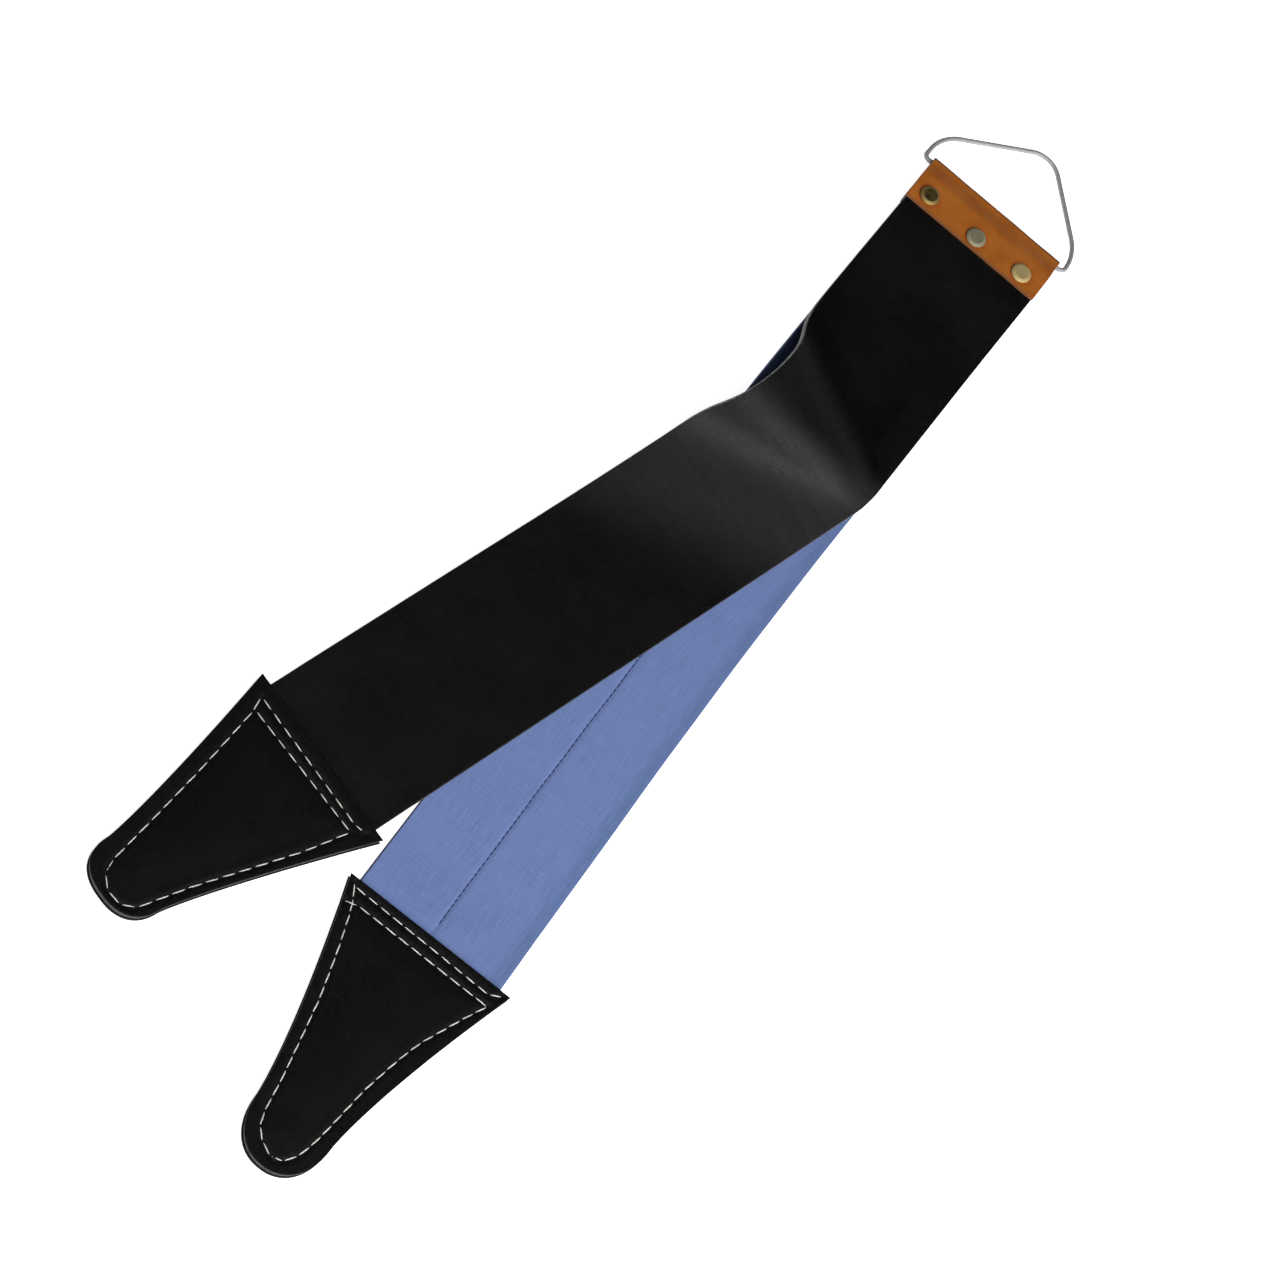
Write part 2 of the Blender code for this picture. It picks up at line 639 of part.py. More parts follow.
def build():
    clear_scene()
    black = material("black_leather", (0.012, 0.012, 0.013), 0.45)
    tan = material("tan_leather", (0.36, 0.11, 0.02), 0.5)
    blue = material("blue_canvas", (0.16, 0.23, 0.48), 0.9)
    navy = material("navy_thread", (0.02, 0.03, 0.12), 0.8)
    white = material("white_thread", (0.75, 0.74, 0.7), 0.7)
    brass = material("aged_brass", (0.32, 0.27, 0.14), 0.35, 1.0)
    nickel = material("nickel_wire", (0.55, 0.56, 0.58), 0.25, 1.0)

    clip = ring_clip(tan)
    ring = hanging_ring(nickel)
    back = canvas_layer("canvas_back", 0.0, -BACK_LAYER_SHIFT, blue)
    face = canvas_layer("canvas_face", CANVAS_LAYER + GAP, 0.0, blue)
    seam, seam_groove = canvas_seam(navy)
    cut(face, seam_groove)
    found = wave()
    leather = leather_strap(found, black)
    for side in RIVET_PLACES:
        rivet(side, brass)
        hole = rivet_hole(side)
        for piece in (clip, back, face, leather):
            cut(piece, hole)

    flat_end = leather_place(LEATHER_RUN, LEATHER_WIDTH / 2, found)
    flat_end.z = 0.0
    leather_end = leaning() @ flat_end
    leather_handle = sewn_handle("leather_handle", LEATHER_HANDLE, LEATHER_THICKNESS,
                                 Matrix.Translation(leather_end) @ Matrix.Rotation(-LEAN - TURN, 4, "Z"),
                                 black, white)
    canvas_end = Vector((0.0, CLIP_MOUTH_Y - CANVAS_RUN, 0.0))
    canvas_handle = sewn_handle("canvas_handle", CANVAS_HANDLE, CANVAS_THICKNESS,
                                Matrix.Translation(canvas_end) @ Matrix.Rotation(CANVAS_HANDLE_TURN, 4, "Z"),
                                black, white)

    between_straps = LEATHER_ON_CANVAS - GAP / 2
    canvas_joint = Vector((0.0, CLIP_MOUTH_Y - CANVAS_FLEX_AT, lay_down(CANVAS_FLEX_AT) + between_straps))
    leather_joint = Vector((0.0, CLIP_MOUTH_Y - LEATHER_FLEX_AT, lay_down(LEATHER_FLEX_AT) + between_straps))
    before_grip = leaning() @ (flat_end - lower_direction() * HANDLE_FLEX_BEFORE)
    grip_joint = before_grip + Vector((0.0, 0.0, STRAP_LOW_IN_HANDLE + LEATHER_THICKNESS / 2))
    tail_joint = canvas_end + Vector((0.0, HANDLE_FLEX_BEFORE, STRAP_LOW_IN_HANDLE + CANVAS_THICKNESS / 2))
    hang_on(joint_empty("canvas_flex_axis", canvas_joint), [back, face, seam])
    hang_on(joint_empty("leather_flex_axis", leather_joint), [leather])
    hang_on(joint_empty("leather_handle_axis", grip_joint, -LEAN - TURN), leather_handle)
    hang_on(joint_empty("canvas_handle_axis", tail_joint), canvas_handle)
    hang_on(joint_empty("ring_axis", Vector((0.0, RING_AXIS_Y, RING_AXIS_Z))), [ring])


build()
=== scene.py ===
"""The looks of the hanging strop: leather, canvas, stitching, rivets and wire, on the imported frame.

Lengths are in metres. Places come from the frame's boxes and joints, and the curves of the straps
repeat the design's own formulas at a finer step.
"""
import json
import math
import bpy
import bmesh
import numpy as np
from mathutils import Matrix, Vector


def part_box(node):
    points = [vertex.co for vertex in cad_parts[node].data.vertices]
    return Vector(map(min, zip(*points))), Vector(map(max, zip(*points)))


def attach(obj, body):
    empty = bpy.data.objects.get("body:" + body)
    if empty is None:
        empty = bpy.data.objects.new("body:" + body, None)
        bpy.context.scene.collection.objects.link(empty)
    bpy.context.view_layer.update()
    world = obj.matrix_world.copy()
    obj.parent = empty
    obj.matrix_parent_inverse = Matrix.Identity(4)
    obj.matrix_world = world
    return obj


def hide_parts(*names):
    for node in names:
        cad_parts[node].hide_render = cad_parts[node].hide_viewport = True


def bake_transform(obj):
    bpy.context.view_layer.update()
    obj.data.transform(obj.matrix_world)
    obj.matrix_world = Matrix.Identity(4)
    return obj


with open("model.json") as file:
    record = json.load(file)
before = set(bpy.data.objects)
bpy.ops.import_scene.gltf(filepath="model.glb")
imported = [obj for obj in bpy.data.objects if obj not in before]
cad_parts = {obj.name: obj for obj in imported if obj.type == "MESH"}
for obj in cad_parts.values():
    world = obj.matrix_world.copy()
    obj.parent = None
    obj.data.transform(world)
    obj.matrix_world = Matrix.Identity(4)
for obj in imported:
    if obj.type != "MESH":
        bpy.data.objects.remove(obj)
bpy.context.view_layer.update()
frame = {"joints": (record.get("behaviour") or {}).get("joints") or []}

MM = 0.001
DETAIL = "_detail"  # ends the name of a piece that stands for one node


def low(node):
    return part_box(node)[0]


def high(node):
    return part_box(node)[1]


def joint(name):
    return next(j for j in frame["joints"] if j["name"] == name)


# ---- sizes of the design

MOUTH_Y = low("ring_clip").y  # lower edge of the clip; every run starts here
LEATHER_WIDTH, LEATHER_THICKNESS = 76.2 * MM, 2.2 * MM
CANVAS_WIDTH, CANVAS_LAYER = 74.5 * MM, 0.9 * MM
CANVAS_NECK = 2.3 * MM  # the canvas is this much narrower at its middle
GAP = 0.3 * MM  # between two layers
CANVAS_THICKNESS = 2 * CANVAS_LAYER + GAP
LEATHER_ON_CANVAS = CANVAS_THICKNESS + GAP
STRAP_IN_CLIP, STRAP_IN_HANDLE = 15.5 * MM, 12.0 * MM
CANVAS_RUN, LEATHER_RUN = 447 * MM, 436.5 * MM  # from the clip's mouth to the handle's wide edge
CANVAS_BOW = 2.9 * MM  # sideways, at the middle of the canvas
BACK_LAYER_SHIFT = 0.5 * MM  # of the lower canvas layer, towards -X
PLY = 1.4 * MM
CLIP_LEATHER = 1.6 * MM
CLIP_FLAT_LEG = 15.0 * MM
WIRE_RADIUS = 1.15 * MM
CANVAS_LOW_IN_CLIP = low("ring_clip").z + CLIP_LEATHER + GAP
STRAP_LOW_IN_HANDLE = PLY + GAP

# Lengths over which the straps change level, and the level stretch before a handle
LAY_DOWN_RUN, CANVAS_RISE_RUN, LEATHER_DROP_RUN, LEVEL_END = 50 * MM, 34 * MM, 20 * MM, 2 * MM

# The lean of the leather in the clip, and the wave in which it turns
LEAN = math.radians(0.9)
TURN = math.radians(15.25)
TURN_AT, TURN_LENGTH = 141 * MM, 22 * MM
WAVE_BEFORE, WAVE_AFTER = 78 * MM, 64 * MM
WAVE_START, WAVE_END = TURN_AT - WAVE_BEFORE, TURN_AT + WAVE_AFTER
WAVE_SKEW = 1.2  # above 1, the crest comes later
WAVE_STEPS = 208
EDGE_LIFT = 1.4 * MM  # of the outer edge, in the wave
WEDGE_STEPS = 16  # rows between the wave's last ruling and the straight rows

# The slow tail past the wave's foot with its heights at both edges, and the rounding of the wave's bends,
# which goes on a little before and past the wave
TAIL_BEFORE, TAIL_RISE, TAIL_LENGTH = 38 * MM, 34 * MM, 112 * MM
TAIL_OUTER, TAIL_INNER = 3.5 * MM, 12.0 * MM
BEND_REACH, BEND_STEP, BEND_STEPS = 7.5 * MM, 0.8 * MM, 28
ROUNDED_BEFORE, ROUNDED_AFTER = 20 * MM, 40 * MM

# Painted sheen: the strap's tone is made lighter in and past the wave, standing in for the highlight there.
# Where it comes in and goes out, measured from the wave's foot
SHEEN_FROM, SHEEN_RISE, SHEEN_UNTIL, SHEEN_FADE = -26 * MM, 24 * MM, 22 * MM, 42 * MM

# Where the straps' pieces meet, from the clip's mouth
LEATHER_TOP_END, CANVAS_TOP_END = 27 * MM, 60 * MM
LEATHER_END_START = LEATHER_RUN - 34 * MM

# Handles: outline as in the design; stitch lines as (down, across) in millimetres
LEATHER_HANDLE = {
    "half_width": 43.7 * MM, "tip_half_width": 18.7 * MM, "tip_at": 100 * MM, "tip_length": 17.6 * MM,
    "tip_power": 2.4, "flare": 1.17, "lean": 0.017, "stitch": 7.6 * MM, "stitch_width": 0.52 * MM,
    "edge_rows": [
        [(7.0, -35.5), (12.4, -32.6), (48.5, -23.4), (77.6, -16.9), (108.6, -10.3), (112.0, -6.7),
         (114.4, -1.2), (113.3, 6.1), (110.1, 10.4), (83.9, 15.7), (57.8, 22.6), (31.9, 29.3), (10.2, 33.1)],
        [(12.8, -31.8), (10.2, 33.1)],
    ],
    "outer_rows": [[(6.8, -35.0), (6.5, 37.0), (4.7, 37.6)]],
}
CANVAS_HANDLE = {
    "half_width": 42.5 * MM, "tip_half_width": 18.9 * MM, "tip_at": 103 * MM, "tip_length": 24.5 * MM,
    "tip_power": 2.2, "flare": 1.33, "lean": 0.0, "stitch": 6.8 * MM, "stitch_width": 0.58 * MM,
    "edge_rows": [
        [(2.7, -39.0), (6.3, -36.9), (10.7, -34.3), (31.5, -27.7), (54.3, -21.7), (73.5, -18.0),
         (94.2, -14.2), (106.2, -12.8), (113.5, -10.7), (117.6, -8.4), (123.0, 2.6), (119.3, 6.8),
         (112.8, 10.4), (100.1, 12.6), (74.0, 15.5), (54.9, 19.3), (42.7, 22.4), (17.6, 32.8), (9.7, 36.7)],
        [(12.1, -38.0), (10.0, -34.8), (9.9, 36.6)],
    ],
    "outer_rows": [[(3.9, -37.8), (5.2, 35.6), (1.9, 39.4)]],
}
CANVAS_HANDLE_TURN = math.radians(1.5)
STITCH_SPACE = 0.7 * MM  # between the ends of two stitches


# ---- node helpers

def fill(tree, node, inputs):
    """Links each input that is given as a socket, and sets each other one."""
    for name, value in inputs.items():
        if isinstance(value, bpy.types.NodeSocket):
            tree.links.new(value, node.inputs[name])
        else:
            node.inputs[name].default_value = value


def add(tree, kind, inputs=None, **settings):
    node = tree.nodes.new("ShaderNode" + kind)
    for name, value in settings.items():
        setattr(node, name, value)
    fill(tree, node, inputs or {})
    return node


def calc(tree, operation, first, second=0.0, clamp=False):
    return add(tree, "Math", {0: first, 1: second}, operation=operation, use_clamp=clamp).outputs[0]


def times(tree, first, second):
    return calc(tree, "MULTIPLY", first, second)


def plus(tree, start, *terms):
    """start, plus each term's value times its weight."""
    for value, weight in terms:
        start = calc(tree, "ADD", start, times(tree, value, weight))
    return start


def mix(tree, share, first, second, kind="MIX"):
    def colour(value):
        return value if isinstance(value, bpy.types.NodeSocket) else (*value, 1.0)

    inputs = {0: share, 6: colour(first), 7: colour(second)}
    return add(tree, "Mix", inputs, data_type="RGBA", blend_type=kind).outputs[2]


def stained(tree, base, share, strength, colour):
    return mix(tree, times(tree, share, strength), base, colour)


def spread(tree, value, start, end, low_out=0.0, high_out=1.0):
    """The value moved from one range to another, and held inside it."""
    inputs = {"Value": value, "From Min": start, "From Max": end, "To Min": low_out, "To Max": high_out}
    return add(tree, "MapRange", inputs, interpolation_type="SMOOTHSTEP").outputs[0]


def noise(tree, place, scale, detail=3.0, rough=0.5):
    inputs = {"Vector": place, "Scale": scale, "Detail": detail, "Roughness": rough}
    return add(tree, "TexNoise", inputs).outputs["Fac"]


def cells(tree, place, scale):
    """Distance from the borders of a net of small cells."""
    inputs = {"Vector": place, "Scale": scale}
    return add(tree, "TexVoronoi", inputs, feature="DISTANCE_TO_EDGE").outputs["Distance"]


def millimetres(tree, *stretch):
    """The piece's own surface coordinates, in millimetres, or stretched across and along."""
    uv = add(tree, "UVMap", uv_map="flat").outputs[0]
    across, along = stretch or (1.0, 1.0)
    return add(tree, "Mapping", {"Vector": uv, "Scale": (across * 1000.0, along * 1000.0, 1000.0)}).outputs[0]


def object_place(tree):
    return add(tree, "TexCoord").outputs["Object"]


def mark(tree, name):
    return add(tree, "Attribute", attribute_name=name).outputs["Fac"]


def start_material(name):
    made = bpy.data.materials.new(name)
    made.use_nodes = True
    return made, made.node_tree, made.node_tree.nodes["Principled BSDF"]


def bump(tree, shader, height, distance, strength=1.0):
    made = add(tree, "Bump", {"Height": height, "Distance": distance, "Strength": strength})
    tree.links.new(made.outputs[0], shader.inputs["Normal"])


# ---- materials

def black_leather(name, pebble, fibre_share, shine):
    """Dyed leather: pebbled grain with pores, faint creases and scuffs, a raw grey cut edge, and a painted
    sheen, a lighter tone where the piece is marked for it.
    """
    made, tree, shader = start_material(name)
    place = millimetres(tree)
    pores = noise(tree, place, 5.5, 4.0, 0.6)
    cloud = noise(tree, place, 0.035, 4.0, 0.55)
    crease = noise(tree, millimetres(tree, 0.035, 0.28), 1.0, 5.0, 0.6)
    scuff = spread(tree, noise(tree, millimetres(tree, 0.9, 0.12), 1.0, 6.0, 0.65), 0.62, 0.78)
    grain = spread(tree, cells(tree, place, pebble), 0.0, 0.22)
    edge = mark(tree, "edge")

    dyes = (0.0010, 0.0010, 0.0011), (0.0017, 0.0017, 0.00187)
    face = mix(tree, spread(tree, cloud, 0.3, 0.7), *dyes)
    face = stained(tree, face, scuff, 0.35, (0.022, 0.022, 0.022))
    face = stained(tree, face, mark(tree, "groove"), 0.7, (0.004, 0.004, 0.004))
    lightened = spread(tree, crease, 0.3, 0.7, 0.75, 1.0)
    # painted sheen: a lighter tone in and past the wave, broken up by the creases
    face = stained(tree, face, mark(tree, "bent"), lightened, (0.0180, 0.0180, 0.0185))
    fibre = mix(tree, pores, (0.15 * fibre_share,) * 3, (0.38 * fibre_share,) * 3)
    worn = times(tree, edge, spread(tree, noise(tree, place, 0.6, 3.0), 0.3, 0.6, 0.45, 1.0))
    rough = spread(tree, cloud, 0.25, 0.75, 0.33, 0.44)
    fill(tree, shader, {
        "Base Color": mix(tree, worn, face, fibre),
        "Roughness": plus(tree, rough, (pores, 0.08), (scuff, 0.10), (edge, 0.35)),
        "Specular IOR Level": shine,
    })
    bump(tree, shader, plus(tree, times(tree, grain, 0.5), (pores, 0.35), (crease, 1.1)), 0.12 * MM, 0.95)
    return made


def tan_leather():
    """Vegetable-tanned leather: mottled orange, darker at the dents, the fold and the cut edge."""
    made, tree, shader = start_material("tan_leather")
    place = millimetres(tree)
    cloud = noise(tree, place, 0.055, 5.0, 0.6)
    band = noise(tree, millimetres(tree, 0.05, 0.12), 1.0, 3.0, 0.5)
    pores = noise(tree, place, 4.0, 5.0, 0.65)
    speck = spread(tree, noise(tree, place, 0.9, 5.0, 0.7), 0.66, 0.78)
    pebbles = spread(tree, cells(tree, place, 1.6), 0.0, 0.2)
    edge = mark(tree, "edge")

    base = mix(tree, spread(tree, cloud, 0.32, 0.68), (0.255, 0.068, 0.0060), (0.335, 0.102, 0.0110))
    base = mix(tree, spread(tree, band, 0.42, 0.72, 0.0, 0.75), base, (0.300, 0.096, 0.0130))
    base = stained(tree, base, pores, 0.25, (0.170, 0.042, 0.0050))
    base = stained(tree, base, speck, 0.4, (0.15, 0.05, 0.015))
    base = stained(tree, base, mark(tree, "dent"), 0.55, (0.250, 0.046, 0.0035))
    soiled = spread(tree, speck, 0.0, 1.0, 0.55, 1.0)
    base = stained(tree, base, mark(tree, "fold"), soiled, (0.040, 0.017, 0.006))
    raw = mix(tree, pores, (0.13, 0.045, 0.012), (0.24, 0.09, 0.03))
    fill(tree, shader, {
        "Base Color": mix(tree, edge, base, raw),
        "Roughness": plus(tree, spread(tree, cloud, 0.3, 0.7, 0.42, 0.55), (edge, 0.3)),
        "Specular IOR Level": 0.27,
    })
    bump(tree, shader, plus(tree, times(tree, pores, 0.5), (pebbles, 0.35)), 0.08 * MM, 0.8)
    return made


def blue_canvas(name, tint, edge_tint):
    """Plain-woven canvas: crossing warp and weft with uneven, slubby yarns and soft, fuzzy edges, and painted
    shade along its folded edges and in the seam's groove.
    """
    made, tree, shader = start_material(name)
    place = millimetres(tree)
    split = add(tree, "SeparateXYZ", {0: place})
    wobble = times(tree, noise(tree, place, 0.35, 2.0), 0.5)

    def yarns(direction, pitch):
        place_along = calc(tree, "ADD", split.outputs[direction], wobble)
        return calc(tree, "SINE", times(tree, place_along, math.pi / pitch))

    def slubs(*stretch):
        return noise(tree, millimetres(tree, *stretch), 1.0, 4.0, 0.6)

    def shade(share):
        return tuple(c * share for c in tint)

    weave = plus(tree, 0.5, (times(tree, yarns(0, 0.46), yarns(1, 0.52)), 0.5))
    yarn = plus(tree, times(tree, slubs(1.9, 0.07), 0.62), (slubs(0.07, 1.7), 0.38))
    cloud = noise(tree, place, 0.045, 3.0, 0.5)
    fine = noise(tree, place, 2.6, 4.0, 0.6)
    faded = (tint[0] * 1.1, tint[1], tint[2] * 1.02)

    base = mix(tree, spread(tree, yarn, 0.34, 0.66), shade(0.80), shade(1.13))
    base = mix(tree, spread(tree, cloud, 0.35, 0.65, 0.0, 0.5), base, faded)
    base = mix(tree, spread(tree, weave, 0.1, 0.9, 0.14, 0.0), base, shade(0.45))
    base = mix(tree, spread(tree, fine, 0.35, 0.65, 0.16, 0.0), base, shade(0.5))
    # painted shade: the canvas darkened in the seam's groove
    base = stained(tree, base, mark(tree, "groove"), 0.55, shade(0.45))
    # painted shade: the canvas darkened along its folded +X edge
    base = mix(tree, mark(tree, "selvedge"), base, (0.80, 0.85, 0.85), "MULTIPLY")
    # at both cut edges the colour goes to edge_tint; on the face layer that darker, more purple tint is
    # painted shade of the folded edges
    fill(tree, shader, {
        "Base Color": mix(tree, mark(tree, "edge"), base, edge_tint),
        "Roughness": 0.92,
        "Specular IOR Level": 0.15,
        "Sheen Weight": 0.12,
        "Sheen Roughness": 0.6,
    })
    bump(tree, shader, plus(tree, weave, (yarn, 0.8)), 0.10 * MM, 0.7)
    return made


def thread(name, light, dark):
    """Waxed thread: soiled in places, with fine fibres along it."""
    made, tree, shader = start_material(name)
    place = object_place(tree)
    fibre = noise(tree, place, 2600.0, 3.0)
    soil = spread(tree, noise(tree, place, 160.0, 3.0), 0.40, 0.72)
    base = stained(tree, light, fibre, 0.5, dark)
    fill(tree, shader, {"Base Color": stained(tree, base, soil, 0.6, dark), "Roughness": 0.62,
                        "Specular IOR Level": 0.3})
    bump(tree, shader, fibre, 0.04 * MM, 0.6)
    return made


def aged_metal(name, bright, dull, scale, tarnish, roughness, metallic=1.0):
    """Handled metal: clean on the rims, tarnished elsewhere, with fine scratches."""
    made, tree, shader = start_material(name)
    place = object_place(tree)
    cloud = noise(tree, place, scale, 5.0, 0.65)
    spots = spread(tree, noise(tree, place, scale * 6.0, 4.0, 0.7), 0.55, 0.75)
    brushed = add(tree, "Mapping", {"Vector": place, "Scale": (9000.0, 500.0, 500.0)}).outputs[0]
    scratch = noise(tree, brushed, 1.0, 3.0)
    rim = mark(tree, "rim")
    stain = calc(tree, "SUBTRACT", spread(tree, cloud, 0.3, 0.6, tarnish * 0.7, tarnish), rim, clamp=True)
    stain = calc(tree, "MAXIMUM", stain, times(tree, spots, 0.4 * tarnish))
    rough = plus(tree, roughness, (stain, 0.18), (scratch, 0.12), (rim, -0.08))
    fill(tree, shader, {
        "Base Color": mix(tree, stain, bright, dull),
        "Roughness": calc(tree, "MINIMUM", rough, 1.0),
        "Metallic": metallic,
    })
    bump(tree, shader, plus(tree, cloud, (scratch, 0.4)), 0.03 * MM, 0.6)
    return made


# ---- mesh helpers

def put_in_scene(name, data):
    obj = bpy.data.objects.new(name, data)
    bpy.context.scene.collection.objects.link(obj)
    return obj


def make_piece(name, verts, faces, surface, uv=None, marks=None):
    """An object from points, faces, flat coordinates for each point and named marks for each point."""
    mesh = bpy.data.meshes.new(name)
    mesh.from_pydata([tuple(v) for v in verts], [], faces)
    mesh.validate()
    if uv is not None:
        layer = mesh.uv_layers.new(name="flat")
        corner = np.zeros(len(mesh.loops), int)
        mesh.loops.foreach_get("vertex_index", corner)
        layer.data.foreach_set("uv", np.asarray(uv, np.float32)[corner].ravel())
    for mark_name, values in (marks or {}).items():
        attribute = mesh.attributes.new(mark_name, "FLOAT", "POINT")
        attribute.data.foreach_set("value", np.asarray(values, np.float32))
    shape = bmesh.new()
    shape.from_mesh(mesh)
    bmesh.ops.remove_doubles(shape, verts=shape.verts, dist=0.001 * MM)
    bmesh.ops.recalc_face_normals(shape, faces=shape.faces)
    shape.to_mesh(mesh)
    shape.free()
    mesh.shade_smooth()
    mesh.set_sharp_from_angle(angle=math.radians(50.0))
    mesh.materials.append(surface)
    return put_in_scene(name, mesh)


def smooth_step(value):
    value = np.clip(value, 0.0, 1.0)
    return value * value * (3.0 - 2.0 * value)


def bell(distance, reach):
    return np.exp(-(distance / reach) ** 2)


def ripple(x, y, size, seed):
    """A gentle, repeatable unevenness between -1 and 1, from a few crossing waves."""
    total = np.zeros(np.broadcast(x, y).shape)
    draws = np.random.default_rng(seed)
    for _ in range(6):
        angle, phase = draws.uniform(0, 2 * math.pi, 2)
        pitch = size * draws.uniform(0.6, 1.6)
        total = total + np.sin((x * math.cos(angle) + y * math.sin(angle)) * 2 * math.pi / pitch + phase)
    return total / 6


def grid_faces(rows, count, around=False, first=0):
    """Faces between neighbouring rows of points; around joins the end of each row to its start."""
    faces = []
    for r in range(rows - 1):
        for c in range(count if around else count - 1):
            a, b = first + r * count + c, first + r * count + (c + 1) % count
            faces.append((a, b, b + count, a + count))
    return faces


def rounded_section(width, edge, inner_steps, extra=()):
    """Places across a strap, and the share of half the thickness at each, round at both edges."""
    near = edge * np.array([0.0, 0.03, 0.12, 0.28, 0.5, 0.75, 1.0])
    inner = np.linspace(edge, width - edge, inner_steps + 1)[1:-1]
    places = np.sort(np.concatenate((near, inner, width - near, list(extra))))
    depth = np.clip(np.minimum(places, width - places) / edge, 0.0, 1.0)
    return places, (1.0 - (1.0 - depth) ** 3) ** (1 / 3)


def swept_strap(name, middle, share, thickness, flat, surface, marks, offset, facing=1.0):
    """A closed strap about its middle surface. middle is rows by places by 3.

    facing is 1 or -1: which side of the middle surface is the shown face, which offset moves.
    """
    normal = facing * np.cross(np.gradient(middle, axis=1), np.gradient(middle, axis=0))
    normal /= np.linalg.norm(normal, axis=2)[..., None]
    half = (share * thickness / 2)[None, :, None]
    top = middle + normal * half + normal * offset[..., None]
    bottom = middle - normal * half
    rows, count = middle.shape[:2]
    second = rows * count
    faces = grid_faces(rows, count) + grid_faces(rows, count, first=second)
    for start in (0, second - count):
        faces += [(a, a + 1, second + a + 1, second + a) for a in range(start, start + count - 1)]
    doubled = {key: np.tile(values.ravel(), 2) for key, values in marks.items()}
    verts = np.concatenate((top.reshape(-1, 3), bottom.reshape(-1, 3)))
    return make_piece(name, verts, faces, surface, np.tile(flat.reshape(-1, 2), (2, 1)), doubled)


def strap_pieces(name, cuts, points, share, thickness, flat, surface, marks, offset, facing=1.0):
    """A strap as pieces that meet at the cuts."""
    runs = flat[:, 0, 1]
    cuts = (-1.0, *cuts, 1.0)
    pieces = []
    for part, start, end in zip(("top", "main", "end"), cuts, cuts[1:]):
        kept = np.flatnonzero((runs > start - 0.01 * MM) & (runs < end + 0.01 * MM))
        rows = slice(kept[0], kept[-1] + 1)
        marks_here = {key: values[rows] for key, values in marks.items()}
        pieces.append(swept_strap(f"{name}_{part}", points[rows], share, thickness, flat[rows], surface,
                                  marks_here, offset[rows], facing))
    return pieces


def tube(path, radius, sides, closed=False, twist=None):
    """Points and faces of a round bar along a path, its radius a number or one for each point."""
    path = np.asarray(path, float)
    count = len(path)
    radius = np.broadcast_to(radius, (count,))
    ahead = np.roll(path, -1, 0) - np.roll(path, 1, 0) if closed else np.gradient(path, axis=0)
    ahead /= np.linalg.norm(ahead, axis=1)[:, None]
    side = np.cross(ahead, (0.0, 0.0, 1.0))
    side /= np.linalg.norm(side, axis=1)[:, None]
    up = np.cross(side, ahead)
    angle = np.linspace(0.0, 2 * math.pi, sides, endpoint=False)
    verts = []
    for k in range(count):
        size = radius[k] * (1.0 if twist is None else 1.0 + twist(k, angle))
        ring = side[k] * np.cos(angle)[:, None] + up[k] * np.sin(angle)[:, None]
        verts.append(path[k] + ring * np.broadcast_to(size, angle.shape)[:, None])
    total = count * sides
    faces = [tuple(i % total for i in face) for face in grid_faces(count + closed, sides, around=True)]
    if not closed:
        faces += [tuple(range(sides))[::-1], tuple(range(total - sides, total))]
    return np.concatenate(verts), faces


# ---- the straps' middle surfaces

def lay_down(run):
    return CANVAS_LOW_IN_CLIP * (1.0 - smooth_step(run / LAY_DOWN_RUN))


def canvas_low(run):
    start = CANVAS_RUN - CANVAS_RISE_RUN - LEVEL_END
    return lay_down(run) + STRAP_LOW_IN_HANDLE * smooth_step((run - start) / CANVAS_RISE_RUN)


def canvas_arch(run):
    return np.sin(math.pi * np.clip(run / CANVAS_RUN, 0.0, 1.0))


def canvas_centre(run):
    return -CANVAS_BOW * canvas_arch(run)


def wave():
    """The ruled, unstretched wave: base points, rulings, ruling lengths and flat runs of both edges."""
    t = np.linspace(0.0, 1.0, WAVE_STEPS + 1)
    step = t[1] - t[0]
    outer = TURN_LENGTH * (t - 0.5)
    inner = -WAVE_BEFORE + (WAVE_BEFORE + WAVE_AFTER) * t
    flat_angle = np.arctan2(inner - outer, LEATHER_WIDTH)
    shape = np.sin(math.pi * t ** WAVE_SKEW) ** 2
    flat_rate, shape_rate = np.gradient(flat_angle, t), np.gradient(shape, t)

    def summed(rate):
        return np.concatenate(([0.0], np.cumsum(rate) * step))

    def plan_angle(crest):
        rate = np.sqrt(np.maximum(flat_rate ** 2 - (crest * shape_rate) ** 2, 1e-6)) / np.cos(crest * shape)
        return flat_angle[0] + summed((rate[1:] + rate[:-1]) / 2)

    gentle, steep = 0.0, 1.0
    for _ in range(40):
        crest = (gentle + steep) / 2
        if plan_angle(crest)[-1] > flat_angle[-1] - TURN:
            gentle = crest
        else:
            steep = crest
    rise, plan = crest * shape, plan_angle(crest)
    heading = np.arcsin(np.clip(np.sin(flat_angle) / np.cos(rise), -1.0, 1.0)) - plan
    middle = (heading[1:] + heading[:-1]) / 2
    x = LEATHER_WIDTH / 2 - summed(np.sin(middle) * TURN_LENGTH)
    y = MOUTH_Y - (TURN_AT - TURN_LENGTH / 2) - summed(np.cos(middle) * TURN_LENGTH)
    z = EDGE_LIFT * np.sin(math.pi * t) ** 2
    ruling = np.stack((-np.cos(rise) * np.cos(plan), -np.cos(rise) * np.sin(plan), np.sin(rise)), axis=1)
    length = np.hypot(LEATHER_WIDTH, inner - outer)
    return np.stack((x, y, z), axis=1), ruling, length, TURN_AT + outer, TURN_AT + inner


def from_foot(points, foot, inner_foot):
    """Distance past the foot of the wave, and the share of the way to the strap's inner edge."""
    ruling = inner_foot - foot
    width = np.hypot(*ruling)
    ruling = ruling / width
    offset = points[..., :2] - foot
    past = offset[..., 1] * ruling[0] - offset[..., 0] * ruling[1]
    return past, np.clip((offset @ ruling) / width, 0.0, 1.0)


